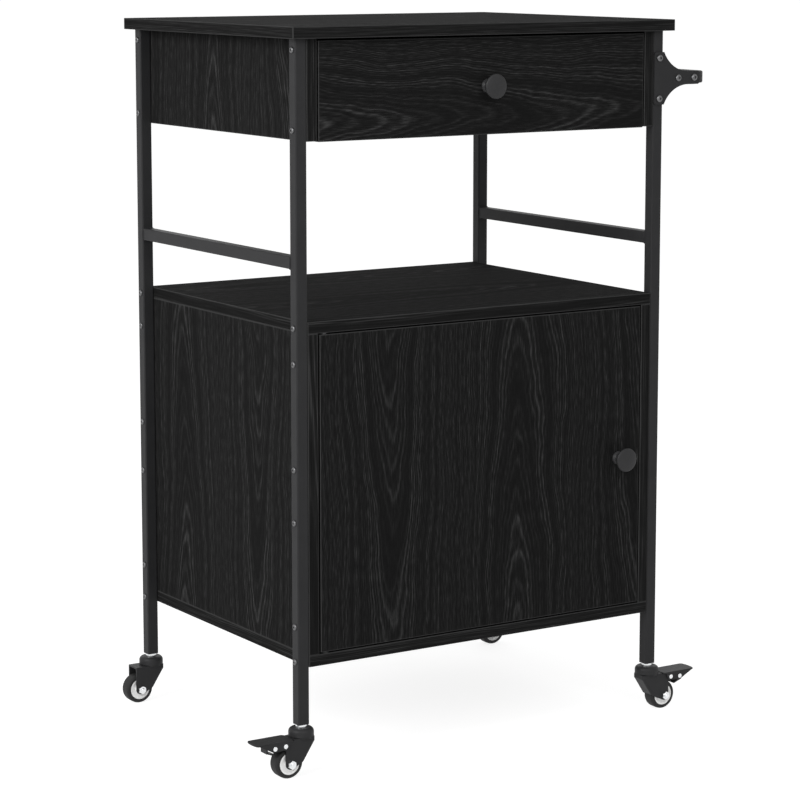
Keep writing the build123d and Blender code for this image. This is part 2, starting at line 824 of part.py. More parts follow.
# Flanged nylon bushes for the hinge pins, one in the shelf board and one in the bottom board
def make_hinge_bushes():
    axis_place = [(hinge_axis_x, hinge_axis_y)]
    bush_depth = hinge_pin_in_bush + hole_end_clearance
    with BuildPart() as bushes:
        for z, way in ((cabinet_floor, 1), (cabinet_ceiling, -1)):
            add_pins(facing_up(z), axis_place, bush_flange_diameter, way * bush_flange)
            add_pins(facing_up(z), axis_place, hinge_pin_diameter + 2 * bush_wall, -way * bush_depth)
            mouth = facing_up(z + way * bush_flange)
            bore(mouth, axis_place, hinge_pin_diameter, -way * (bush_flange + bush_depth))
    save(bushes, "door_hinge_bushes")


# Magnetic catch under the shelf board and its steel keeper plate on the back of the door
def make_catch():
    front = door_back + catch_plate_thickness + catch_magnet_gap
    with BuildPart() as catch:
        with BuildSketch(facing_up(cabinet_ceiling)):
            with Locations((catch_middle_x, front + catch_depth / 2)):
                RectangleRounded(catch_length, catch_depth, catch_corner)
        extrude(amount=-catch_height)
    save(catch, "catch_magnet")


def make_catch_plate():
    plate_top = min(door_high - board_edge_radius, cabinet_ceiling - hole_end_clearance)
    with BuildPart() as plate:
        with BuildSketch(facing_front(door_back)):
            with Locations((catch_middle_x, plate_top - catch_plate_height / 2)):
                RectangleRounded(catch_plate_length, catch_plate_height, catch_corner)
        extrude(amount=-catch_plate_thickness)
    save(plate, "door_catch_plate")


# Casters. Each one's own frame has its swivel axis at reach 0, the trail as its reach and Z as its height.
wheel_radius = wheel_diameter / 2
fork_half_inner = wheel_width / 2 + fork_wheel_clearance
fork_half_outer = fork_half_inner + fork_steel
fork_deck_under = fork_deck - fork_steel
fork_heel_reach = -fork_neck_diameter / 2
fork_trailing_reach = caster_trail + fork_ankle_radius
pedal_underside = pedal_pivot_height + pedal_pivot_lug_radius + pedal_lug_clearance
cheek_half_inner = fork_half_outer + pedal_side_clearance
cheek_half_outer = cheek_half_inner + pedal_steel
stem_head_low = fork_deck_under - stem_head_height
leg_middles_x = [frame_left + tube_side / 2, frame_right - tube_side / 2]
caster_places = [(x, y) for x in leg_middles_x for y in leg_middles_y]


def caster_side(x, y, way):
    """Upright plane through a swivel axis: its own x is the reach along the trail, its own y the height."""
    return Plane(origin=(x, y, 0), x_dir=(way, 0, 0), z_dir=(0, -way, 0))


def caster_plan(x, y, way, height):
    """Level plane through a swivel axis whose own x is the reach along the trail."""
    return Plane(origin=(x, y, height), x_dir=(way, 0, 0), z_dir=(0, 0, 1))


# Plastic inserts in the leg ends that grip the caster stems
def make_leg_inserts():
    side = tube_side - 2 * tube_wall - 2 * insert_clearance
    with BuildPart() as inserts:
        with BuildSketch(facing_up(leg_bottom)):
            with Locations(*caster_places):
                RectangleRounded(side, side, tube_corner - tube_wall)
                Circle(stem_diameter / 2, mode=Mode.SUBTRACT)
        extrude(amount=insert_length)
    save(inserts, "leg_bottom_inserts")


# Steel stems: each has a head under its fork, a collar under the leg and a shank in the insert
def make_caster_stems():
    shank_length = leg_bottom + stem_length - stem_head_low
    with BuildPart() as stems:
        add_pins(facing_up(stem_head_low), caster_places, stem_head_diameter, stem_head_height)
        add_pins(facing_up(stem_head_low), caster_places, stem_diameter, shank_length)
        add_pins(facing_up(fork_top), caster_places, stem_collar_diameter, leg_bottom - fork_top)
    save(stems, "caster_stems")


def draw_fork_plate(inset):
    """Draw a fork's side view: heel, sloping shin, ankle round the axle and a straight trailing edge."""
    with Locations((caster_trail, wheel_radius)):
        Circle(fork_ankle_radius - inset)
    with Locations((fork_shin_reach, fork_shin_height)):
        Circle(fork_shin_radius - inset)
    with Locations(((fork_heel_reach + fork_trailing_reach) / 2, (fork_heel + fork_deck - inset) / 2)):
        Rectangle(fork_trailing_reach - fork_heel_reach - 2 * inset, fork_deck - inset - fork_heel)
    make_hull()


def make_fork_blank(x, y, way):
    """Return the block that rounds a fork's leading corners, first upright, then leaning with the shin."""
    run = fork_shin_reach - fork_heel_reach
    drop = fork_heel - fork_shin_height
    lean = atan2(drop, run) + asin(fork_shin_radius / hypot(run, drop))
    length = 2 * fork_trailing_reach
    middle = fork_heel_reach - fork_corner_relief + length / 2
    with BuildPart() as blank:
        with BuildSketch(caster_plan(x, y, way, fork_heel)):
            with Locations((middle, 0)):
                RectangleRounded(length, 2 * fork_half_outer, fork_corner)
        extrude(amount=fork_top - fork_heel)
        with BuildSketch(caster_plan(x, y, way, fork_heel)):
            with Locations((middle, 0)):
                RectangleRounded(length, 2 * fork_half_outer, fork_corner)
        extrude(amount=fork_heel / sin(lean), dir=(way * cos(lean), 0, -sin(lean)))
    return blank.part


def make_fork(name, x, y, way, braked):
    """Press one fork: a capped raceway housing on a channel whose sides narrow to the axle."""
    side = caster_side(x, y, way)
    blank = make_fork_blank(x, y, way)
    notch_low = pedal_pivot_height + pedal_pivot_lug_radius
    with BuildPart() as fork:
        with BuildSketch(side):
            draw_fork_plate(0)
        extrude(amount=fork_half_outer, both=True)
        add(blank, mode=Mode.INTERSECT)
        if braked:
            with BuildSketch(side):
                with Locations((fork_notch_reach + fork_trailing_reach / 2, notch_low + fork_deck / 2)):
                    Rectangle(fork_trailing_reach, fork_deck)
            extrude(amount=2 * fork_half_outer, both=True, mode=Mode.SUBTRACT)
            with BuildSketch(side):
                with Locations((pedal_pivot_reach, pedal_pivot_height)):
                    Circle(pedal_pivot_lug_radius)
                with Locations((fork_trailing_reach - fork_corner, (fork_lug_root + pedal_pivot_height) / 2)):
                    Rectangle(2 * fork_corner, pedal_pivot_height - fork_lug_root)
                make_hull()
            extrude(amount=fork_half_outer, both=True)
        with BuildSketch(side):
            draw_fork_plate(fork_steel)
            with Locations((caster_trail, wheel_radius)):
                Circle(wheel_radius + fork_wheel_clearance)
            open_start = fork_notch_reach if braked else caster_trail
            open_height = fork_top if braked else fork_deck_under
            with Locations((open_start + fork_trailing_reach / 2, open_height / 2)):
                Rectangle(fork_trailing_reach, open_height)
        extrude(amount=fork_half_inner, both=True, mode=Mode.SUBTRACT)
        with BuildSketch(side):
            with BuildLine():
                Polyline(
                    (fork_top_diameter / 2, fork_top),
                    (0, fork_top),
                    (0, fork_deck_under),
                    (fork_neck_diameter / 2, fork_deck_under),
                    (fork_neck_diameter / 2, fork_cap_low),
                    (fork_cap_diameter / 2, fork_cap_low),
                    (fork_cap_diameter / 2, fork_cap_shoulder),
                )
                TangentArc(
                    (fork_cap_diameter / 2, fork_cap_shoulder),
                    (fork_top_diameter / 2, fork_top),
                    tangent=(0, 1),
                )
            make_face()
        revolve(axis=Axis((x, y, 0), (0, 0, 1)))
        stem_hole_diameter = stem_diameter + 2 * stem_clearance
        bore(facing_up(fork_deck_under), [(x, y)], stem_hole_diameter, fork_top - fork_deck_under)
        with BuildSketch(side):
            with Locations((caster_trail, wheel_radius)):
                Circle(axle_diameter / 2)
            if braked:
                with Locations((pedal_pivot_reach, pedal_pivot_height)):
                    Circle(pedal_pin_diameter / 2)
        extrude(amount=2 * fork_half_outer, both=True, mode=Mode.SUBTRACT)
    save(fork, name)


def wheel_section(x, y, way):
    """Plane for a wheel's section: its own x is the radius and its own y runs along the axle."""
    return Plane(origin=(x + way * caster_trail, y, wheel_radius), x_dir=(0, 0, 1), z_dir=(-1, 0, 0))


def axle_line(x, y, way):
    return Axis((x + way * caster_trail, y, wheel_radius), (0, 1, 0))


def make_tyre(name, x, y, way):
    hub_radius = hub_diameter / 2
    with BuildPart() as tyre:
        with BuildSketch(wheel_section(x, y, way)) as section:
            with Locations(((hub_radius + wheel_radius) / 2, 0)):
                Rectangle(wheel_radius - hub_radius, wheel_width)
            fillet(section.vertices().group_by(Axis.X)[-1], radius=tyre_shoulder)
        revolve(axis=axle_line(x, y, way))
    save(tyre, name)


def make_hub(name, x, y, way):
    """Mould one wheel hub: a rim, a disc set back from it on both sides, and a boss that runs on the axle."""
    bore_radius = axle_diameter / 2 + hub_bore_clearance
    rim_inside = hub_diameter / 2 - hub_rim
    with BuildPart() as hub:
        with BuildSketch(wheel_section(x, y, way)):
            with Locations(((bore_radius + hub_diameter / 2) / 2, 0)):
                Rectangle(hub_diameter / 2 - bore_radius, hub_width - 2 * hub_recess)
            with Locations(((rim_inside + hub_diameter / 2) / 2, 0)):
                Rectangle(hub_rim, hub_width)
            with Locations(((bore_radius + hub_boss_diameter / 2) / 2, 0)):
                Rectangle(hub_boss_diameter / 2 - bore_radius, 2 * (fork_half_inner - hub_side_clearance))
        revolve(axis=axle_line(x, y, way))
    save(hub, name)


def make_axle(name, x, y, way):
    """Make one axle bolt, its head behind, and the nut on its front end."""
    place = [(x + way * caster_trail, wheel_radius)]
    front_face = y - fork_half_outer
    bolt_front = front_face - nut_height - axle_thread_end
    rear_face = y + fork_half_outer
    with BuildPart() as axle:
        add_pins(facing_front(bolt_front), place, axle_diameter, -(rear_face - bolt_front))
        add_pins(facing_front(rear_face), place, axle_head_diameter, -axle_head_height)
        with BuildSketch(facing_front(front_face)):
            with Locations(*place):
                RegularPolygon(nut_across_flats / 2, 6, major_radius=False, rotation=nut_turn)
                Circle(axle_diameter / 2 + nut_thread_clearance, mode=Mode.SUBTRACT)
        extrude(amount=nut_height)
    save(axle, name)


def draw_pedal_plan(start, inset):
    """Draw the pedal from above: parallel sides, a slightly bowed end and rounded corners."""
    half_width = cheek_half_outer - inset
    side_end = pedal_reach - pedal_bow - inset
    with BuildLine() as outline:
        ThreePointArc((side_end, half_width), (pedal_reach - inset, 0), (side_end, -half_width))
        Polyline((side_end, -half_width), (start, -half_width), (start, half_width), (side_end, half_width))
    make_face(outline.edges())
    fillet(vertices(), radius=pedal_corner - inset)


def make_brake_pedal(name, x, y, way):
    """Press one brake pedal: a flat plate, tapering skirts, two rivets through them and the brake shoe."""
    side = caster_side(x, y, way)
    ears = [(pedal_pivot_reach, pedal_pivot_height), (shoe_pin_reach, shoe_pin_height)]
    arm_run = shoe_hanger_reach - shoe_pad_reach
    arm_drop = shoe_hanger_bottom - shoe_pad_height
    arm_middle = ((shoe_hanger_reach + shoe_pad_reach) / 2, (shoe_hanger_bottom + shoe_pad_height) / 2)
    shoe_hanger_low = shoe_hanger_bottom - shoe_steel / 2
    shoe_hanger_high = pedal_underside + pedal_steel
    with BuildPart() as pedal:
        with BuildSketch(side):
            with Locations(*ears):
                Circle(cheek_ear_radius)
            with Locations(((skirt_start + skirt_end) / 2, pedal_underside + pedal_steel / 2)):
                Rectangle(skirt_end - skirt_start, pedal_steel)
            make_hull()
        extrude(amount=cheek_half_outer, both=True)
        with BuildSketch(caster_plan(x, y, way, 0)):
            draw_pedal_plan(0, pedal_steel)
        extrude(amount=pedal_underside, mode=Mode.SUBTRACT)
        with BuildSketch(caster_plan(x, y, way, 0)):
            draw_pedal_plan(pedal_start, 0)
        extrude(amount=fork_top, mode=Mode.INTERSECT)
        with BuildSketch(caster_plan(x, y, way, pedal_underside)):
            draw_pedal_plan(pedal_start, 0)
        extrude(amount=pedal_steel)
        with BuildSketch(side):
            with Locations((shoe_hanger_reach, (shoe_hanger_low + shoe_hanger_high) / 2)):
                Rectangle(shoe_steel, shoe_hanger_high - shoe_hanger_low)
            with Locations(arm_middle):
                Rectangle(hypot(arm_run, arm_drop), shoe_steel, rotation=degrees(atan2(arm_drop, arm_run)))
        extrude(amount=shoe_width / 2, both=True)
        with BuildSketch(side):
            with Locations(*ears):
                Circle(pedal_pin_diameter / 2 - pedal_pin_clearance)
        extrude(amount=cheek_half_outer, both=True)
        for outward in (-1, 1):
            with BuildSketch(side.offset(outward * cheek_half_outer)):
                with Locations(*ears):
                    Circle(rivet_head_diameter / 2)
            extrude(amount=outward * rivet_head_height)
    save(pedal, name)


for side, left_x in (("left", frame_left), ("right", frame_right - tube_side)):
    handle_side = side == "right"
    make_leg(f"front_{side}_leg", left_x, frame_front, frame_front if handle_side else None)
    make_leg(f"back_{side}_leg", left_x, frame_back - tube_side, frame_back if handle_side else None)
    make_guard_bar(f"{side}_guard_bar", left_x)

make_top_board()
make_cabinet_board("shelf_board", cabinet_ceiling, cabinet_ceiling, 1, shelf_screw_height)
make_cabinet_board("bottom_board", bottom_board_under, cabinet_floor, -1, bottom_screw_height)
make_cabinet_back()
make_case_back()
for side, outer_x, inward in (("left", board_left, 1), ("right", board_right, -1)):
    make_cabinet_side(f"cabinet_{side}_panel", outer_x, inward)
    make_case_side(f"drawer_case_{side}", outer_x, inward)
make_board_dowels()
make_frame_screws()

make_handle_rail()
make_handle_bracket("handle_front_bracket", frame_front, 1)
make_handle_bracket("handle_back_bracket", frame_back, -1)
make_handle_bolts()

make_drawer_front()
make_drawer_side("drawer_left_side", drawer_outer_left, 1)
make_drawer_side("drawer_right_side", drawer_outer_right, -1)
make_drawer_back()
make_drawer_floor()
make_drawer_dowels()
make_case_runner("case_left_runner", inner_left, 1)
make_case_runner("case_right_runner", inner_right, -1)
make_drawer_runner("drawer_left_runner", drawer_outer_left, -1)
make_drawer_runner("drawer_right_runner", drawer_outer_right, 1)
make_knob("drawer_knob", drawer_middle_x, drawer_knob_z)
make_knob_screw("drawer_knob_screw", drawer_middle_x, drawer_knob_z)

make_door()
make_knob("door_knob", door_knob_x, door_knob_z)
make_knob_screw("door_knob_screw", door_knob_x, door_knob_z)
make_hinge_pins()
make_hinge_bushes()
make_catch()
make_catch_plate()

make_leg_inserts()
make_caster_stems()
for end, y in (("front", leg_middle_front), ("back", leg_middle_back)):
    for side, x, way in (("left", caster_places[0][0], -1), ("right", caster_places[-1][0], 1)):
        corner = f"{end}_{side}"
        make_fork(f"{corner}_fork", x, y, way, end == "front")
        make_tyre(f"{corner}_tyre", x, y, way)
        make_hub(f"{corner}_hub", x, y, way)
        make_axle(f"{corner}_axle", x, y, way)
        if end == "front":
            make_brake_pedal(f"{corner}_brake_pedal", x, y, way)
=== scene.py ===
"""Looks of a black kitchen cart on casters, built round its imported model.

The cart has a square-tube frame in black powder coat, boards in black oak foil, one drawer, one inset
door, a push handle on curved brackets and four swivel casters, the front two with brake pedals. Lengths
are in metres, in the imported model's own frame: the front faces -Y and +Z is up.
"""
import logging
import math
from dataclasses import dataclass
from enum import Enum
from functools import cache, partial
from typing import Callable

import bpy
import numpy as np
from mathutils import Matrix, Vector


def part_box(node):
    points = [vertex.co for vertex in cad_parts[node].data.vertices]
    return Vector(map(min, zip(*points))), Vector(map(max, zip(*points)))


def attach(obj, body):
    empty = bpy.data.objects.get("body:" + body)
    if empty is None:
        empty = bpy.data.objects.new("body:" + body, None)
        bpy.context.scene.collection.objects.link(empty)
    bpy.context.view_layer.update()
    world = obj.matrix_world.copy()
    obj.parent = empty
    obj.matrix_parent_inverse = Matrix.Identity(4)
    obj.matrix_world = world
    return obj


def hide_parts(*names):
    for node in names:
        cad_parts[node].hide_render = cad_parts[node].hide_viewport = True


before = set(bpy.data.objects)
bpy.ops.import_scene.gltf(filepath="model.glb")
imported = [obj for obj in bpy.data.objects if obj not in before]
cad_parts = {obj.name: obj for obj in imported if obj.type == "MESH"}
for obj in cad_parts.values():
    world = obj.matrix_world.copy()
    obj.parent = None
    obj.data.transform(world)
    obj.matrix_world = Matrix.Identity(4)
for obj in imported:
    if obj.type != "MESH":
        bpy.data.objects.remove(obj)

LOG = logging.getLogger("kitchen_cart")
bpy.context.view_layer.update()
MM = 0.001

Node = bpy.types.Node
Material = bpy.types.Material
# Two or three numbers of one kind, such as a place.
Pair = tuple[float, float]
Triple = tuple[float, float, float]
Pairs = tuple[Pair, ...]
# Vertices, and faces as rows of four vertex numbers; a triangle repeats its last one.
Shell = tuple[np.ndarray, np.ndarray]


def linear(hex_colour: str) -> tuple[float, float, float, float]:
    """Turn an sRGB hex colour to linear light, by the standard's straight foot and power curve.

    Args:
        hex_colour: Colour such as "#1c1c1d".

    Returns:
        Linear red, green, blue and an alpha of one.
    """
    parts = [int(hex_colour[i : i + 2], 16) / 255 for i in (1, 3, 5)]
    light = [p / 12.92 if p <= 0.04045 else ((p + 0.055) / 1.055) ** 2.4 for p in parts]
    return (light[0], light[1], light[2], 1.0)


def add_node(
    tree: bpy.types.NodeTree, kind: str, settings: dict | None = None, links: dict | None = None
) -> Node:
    """Add one shader node, set it up and link it.

    Args:
        tree: Node tree that takes the node.
        kind: Blender's name of the node type, after its ShaderNode.
        settings: Properties by name, and input values by socket name or number.
        links: Nodes, for their first output, or output sockets, by the input that each one feeds.

    Returns:
        The new node.
    """
    node = tree.nodes.new("ShaderNode" + kind)
    for key, value in (settings or {}).items():
        if isinstance(key, str) and hasattr(node, key):
            setattr(node, key, value)
        else:
            node.inputs[key].default_value = value
    for key, source in (links or {}).items():
        output = source.outputs[0] if isinstance(source, Node) else source
        tree.links.new(output, node.inputs[key])
    return node


def new_material(name: str) -> tuple[Material, Callable]:
    """Start an empty node material.

    Args:
        name: Name of the finish.

    Returns:
        The material, and the function that adds a node to it.
    """
    material = bpy.data.materials.new(name)
    material.use_nodes = True
    material.node_tree.nodes.clear()
    return material, partial(add_node, material.node_tree)


class Axis(Enum):
    """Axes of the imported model, by their place in a vector."""

    X = 0
    Y = 1
    Z = 2


@dataclass(frozen=True)
class GrainLay:
    """How the foil's grain lies on one board.

    Attributes:
        along: Axis that the grain follows.
        across: Axis across the grain on the board's large faces.
        middle: Place of one peaked leaf's middle on the across axis.
        seed: Any number; it picks the sway and the pores.
    """

    along: Axis
    across: Axis
    middle: float
    seed: float


@dataclass(frozen=True)
class OakFoil:
    """Black oak melamine foil, printed and embossed, on chipboard.

    The eye sees a nearly black, dull board. Its grain stands out a little lighter where the emboss catches
    the
    light: nested peaks down the middle of every second leaf, funnels down the others, close straight lines
    between them, and smooth dark bands where the rings are faint. Each arris carries a painted highlight.

    Attributes:
        dark: Colour between the growth rings.
        light: Colour of the rings' pores.
        roughness: Between the rings, and in the pores.
        specular: Specular level, low on the matt foil.
        leaf_width: From the middle of one leaf to the next.
        ring_spacing: Between growth rings at the middle of a leaf, drawn wider than real ones to show.
        crowding: Distance from the middle at which the rings lie twice as close.
        point_radius: Rounding of the peaks' tips.
        lean: How far the rings lean across the grain for each metre along it.
        bend: How far groups of rings sway, and the size of that sway across and along the grain.
        waver: The same for single rings.
        season: Light at places of one ring, from its start at 0 to its end at 1.
        bold_pace: Changes between faint and bold for each ring.
        bold_band: Noise values at which a ring is faint, and bold.
        faintest: Light of the faintest ring.
        pore: Width and length of a pore, drawn at some four times its real width to show.
        pore_band: Noise values at which a spot is bare, and a full pore.
        pore_gap: Light that stays between the pores of a ring.
        speckle: Light of the pores between faint rings, and between bold ones.
        edge_run: Share of the change along the grain on banded edges, so their lines run straight.
        arris_highlight_width: Width of the painted highlight on an arris, drawn at three times its real
            width to show.
        arris_highlight_colour: Colour of that painted highlight.
    """

    dark: str = "#181818"
    light: str = "#3d3d3d"
    roughness: Pair = (0.85, 0.72)
    specular: float = 0.015
    leaf_width: float = 0.2
    ring_spacing: float = 0.0105
    crowding: float = 0.02
    point_radius: float = 0.009
    lean: float = 0.26
    bend: Triple = (0.042, 0.1, 0.2)
    waver: Triple = (0.008, 0.016, 0.04)
    season: Pairs = ((0.0, 0.25), (0.14, 0.0), (0.5, 0.05), (0.84, 1.0), (1.0, 0.25))
    bold_pace: float = 0.37
    bold_band: Pair = (0.4, 0.62)
    faintest: float = 0.08
    pore: Pair = (0.0014, 0.016)
    pore_band: Pair = (0.42, 0.66)
    pore_gap: float = 0.35
    speckle: Pair = (0.06, 0.24)
    edge_run: float = 0.25
    emboss: float = 0.14 * MM
    # Painted highlight along the arrises: its width and colour.
    arris_highlight_width: float = 1.5 * MM
    arris_highlight_colour: str = "#434343"

    def material(self, node: str, lay: GrainLay) -> Material:
        """Make the foil for one board.

        Args:
            node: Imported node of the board.
            lay: How the grain lies on it.

        Returns:
            The material.
        """
        material, add = new_material(f"black oak foil of {node}")
        coords = add("TexCoord")
        sheet = self.sheet(add, coords, lay)
        age = self.ring_age(add, sheet, lay.middle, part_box(node)[0][lay.along.value])
        grain = self.grain(add, sheet, age)
        # Mask of the painted highlight along the arrises.
        arris = self.arris(add, coords, node)

        inks = {"data_type": "RGBA", 6: linear(self.dark), 7: linear(self.light)}
        printed = add("Mix", inks, {0: grain})
        # Painted highlight: a paler colour along each arris stands in for the light that its rounded edge
        # catches.
        painted_highlight = {"data_type": "RGBA", 7: linear(self.arris_highlight_colour)}
        colour = add("Mix", painted_highlight, {0: arris, 6: printed.outputs[2]})
        shine = {"To Min": self.roughness[0], "To Max": self.roughness[1]}
        gloss = add("MapRange", shine, {"Value": grain})
        bump = add("Bump", {"Strength": 0.7, "Distance": self.emboss}, {"Height": grain})
        surface = {"Base Color": colour.outputs[2], "Roughness": gloss, "Normal": bump}
        shader = add("BsdfPrincipled", {"Specular IOR Level": self.specular, "IOR": 1.5}, surface)
        add("OutputMaterial", links={0: shader})
        return material

    def sheet(self, add: Callable, coords: Node, lay: GrainLay) -> Node:
        """Lay the flat foil on the board: x runs across the grain, y along it, and z is the seed.

        Edge faces are banded, so their lines follow the edge's own length, and are drawn out along it.

        Args:
            add: Adds a node to the material.
            coords: Texture coordinates.
            lay: How the grain lies.

        Returns:
            The place on the foil.
        """
        along, across = lay.along.value, lay.across.value
        thick = ({0, 1, 2} - {along, across}).pop()
        place = add("SeparateXYZ", links={0: coords.outputs["Object"]})
        upright = add("VectorMath", {"operation": "ABSOLUTE"}, {0: coords.outputs["Normal"]})
        facing = add("SeparateXYZ", links={0: upright})
        mostly = {"operation": "GREATER_THAN", 1: 0.5}
        on_face = add("Math", mostly, {0: facing.outputs[thick]})
        on_end = add("Math", mostly, {0: facing.outputs[along]})
        sideways = place.outputs[across]
        cross = add("Mix", links={0: on_face, 2: place.outputs[thick], 3: sideways})
        length = add("Mix", links={0: on_end, 2: place.outputs[along], 3: sideways})
        share = add("MapRange", {"To Min": self.edge_run}, {"Value": on_face})
        drawn_out = add("Math", {"operation": "MULTIPLY"}, {0: length, 1: share})
        return add("CombineXYZ", {2: lay.seed}, {0: cross, 1: drawn_out})

    def noise(self, add: Callable, sheet: Node, patch: Pair, detail: float) -> Node:
        """Spread noise over the foil.

        Args:
            add: Adds a node to the material.
            sheet: Place on the foil.
            patch: Size of the noise across and along the grain.
            detail: How many finer noises lie on it.

        Returns:
            The noise.
        """
        scale = {"operation": "MULTIPLY", 1: (1.0 / patch[0], 1.0 / patch[1], 1.0)}
        place = add("VectorMath", scale, {0: sheet})
        return add("TexNoise", {"Scale": 1.0, "Detail": detail}, {"Vector": place})

    def ring_age(self, add: Callable, sheet: Node, middle: float, start: float) -> Node:
        """Count the growth rings at each place of the foil.

        With r the rounded distance from the nearest leaf's middle, the count is r + r * r / (2 * crowding),
        plus the lean times the way along the grain times a cosine that is one at peaked leaves and minus
        one at funnelled leaves, all over the ring spacing. So the rings close in points that face one way
        on one leaf and the other way on the next. Two noises bend groups of rings and single rings.

        Args:
            add: Adds a node to the material.
            sheet: Place on the foil.
            middle: Place of one peaked leaf's middle across the grain.
            start: Where the board starts along the grain.

        Returns:
            The count.
        """
        sway, waver = self.bend[0], self.waver[0]
        swaying = self.noise(add, sheet, self.bend[1:], 3.0)
        wavering = self.noise(add, sheet, self.waver[1:], 2.0)

        place = add("SeparateXYZ", links={0: sheet})
        centred = add("Math", {"operation": "SUBTRACT", 1: middle + sway / 2}, {0: place.outputs[0]})
        bent = add("Math", {"operation": "MULTIPLY_ADD", 1: sway}, {0: swaying, 2: centred})
        folded = add("Math", {"operation": "PINGPONG", 1: self.leaf_width / 2}, {0: bent})
        corner = add("CombineXYZ", {1: self.point_radius}, {0: folded})
        away = add("VectorMath", {"operation": "LENGTH"}, {0: corner}).outputs["Value"]
        squared = add("Math", {"operation": "POWER", 1: 2.0}, {0: away})
        crowded = {"operation": "MULTIPLY_ADD", 1: 1.0 / (2 * self.crowding)}
        depth = add("Math", crowded, {0: squared, 2: away})

        turn = add("Math", {"operation": "MULTIPLY", 1: math.pi / self.leaf_width}, {0: bent})
        swing = add("Math", {"operation": "COSINE"}, {0: turn})
        leaning = {"operation": "MULTIPLY_ADD", 1: self.lean, 2: -self.lean * start}
        leant = add("Math", leaning, {0: place.outputs[1]})
        grown = add("Math", {"operation": "MULTIPLY_ADD"}, {0: leant, 1: swing, 2: depth})
        shaken = add("Math", {"operation": "MULTIPLY_ADD", 1: waver}, {0: wavering, 2: grown})
        return add("Math", {"operation": "DIVIDE", 1: self.ring_spacing}, {0: shaken})

    def grain(self, add: Callable, sheet: Node, age: Node) -> Node:
        """Turn the rings to light, 0 on bare foil and 1 in the fullest pore.

        The season gives each ring its light, a noise along the count makes groups of rings bold or faint,
        and the pores break the rings up and speckle the foil between them.

        Args:
            add: Adds a node to the material.
            sheet: Place on the foil.
            age: Count of the rings.

        Returns:
            The light.
        """
        part = add("Math", {"operation": "FRACT"}, {0: age})
        ring = add("ValToRGB", links={0: part})
        tones = ring.color_ramp.elements
        for position, _ in self.season[1:-1]:
            tones.new(position)
        for tone, (_, light) in zip(tones, self.season):
            tone.color = (light, light, light, 1.0)
        years = {"noise_dimensions": "1D", "Scale": self.bold_pace, "Detail": 1.0}
        boldness = add("TexNoise", years, {"W": age})
        faint, full = self.bold_band
        bold_range = {"From Min": faint, "From Max": full, "To Min": self.faintest}
        bold = add("MapRange", bold_range, {"Value": boldness})
        lines = add("Math", {"operation": "MULTIPLY"}, {0: ring, 1: bold})

        bare, filled = self.pore_band
        spots = {"Value": self.noise(add, sheet, self.pore, 2.0)}
        pore = add("MapRange", {"From Min": bare, "From Max": filled}, spots)
        kept = add("MapRange", {"To Min": self.pore_gap}, {"Value": pore})
        broken = add("Math", {"operation": "MULTIPLY"}, {0: lines, 1: kept})
        between = {"To Min": self.speckle[0], "To Max": self.speckle[1]}
        speckle = add("MapRange", between, {"Value": bold})
        summed = {0: pore, 1: speckle, 2: broken}
        return add("Math", {"operation": "MULTIPLY_ADD", "use_clamp": True}, summed)

    def arris(self, add: Callable, coords: Node, node: str) -> Node:
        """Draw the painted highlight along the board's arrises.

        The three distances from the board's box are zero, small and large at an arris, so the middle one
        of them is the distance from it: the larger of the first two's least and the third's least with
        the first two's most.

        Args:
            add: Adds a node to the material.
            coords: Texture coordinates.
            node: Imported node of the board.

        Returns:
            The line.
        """
        low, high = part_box(node)
        centre, half = tuple((low + high) / 2), tuple((high - low) / 2)
        offset = add("VectorMath", {"operation": "SUBTRACT", 1: centre}, {0: coords.outputs["Object"]})
        outward = add("VectorMath", {"operation": "ABSOLUTE"}, {0: offset})
        inward = add("VectorMath", {"operation": "SUBTRACT", 0: half}, {1: outward})
        gap = add("SeparateXYZ", links={0: inward})
        pair = {0: gap.outputs[0], 1: gap.outputs[1]}
        least = add("Math", {"operation": "MINIMUM"}, pair)
        most = add("Math", {"operation": "MAXIMUM"}, pair)
        third = add("Math", {"operation": "MINIMUM"}, {0: most, 1: gap.outputs[2]})
        nearest = add("Math", {"operation": "MAXIMUM"}, {0: least, 1: third})
        fading = {"From Max": self.arris_highlight_width, "To Min": 1.0, "To Max": 0.0}
        return add("MapRange", fading, {"Value": nearest})


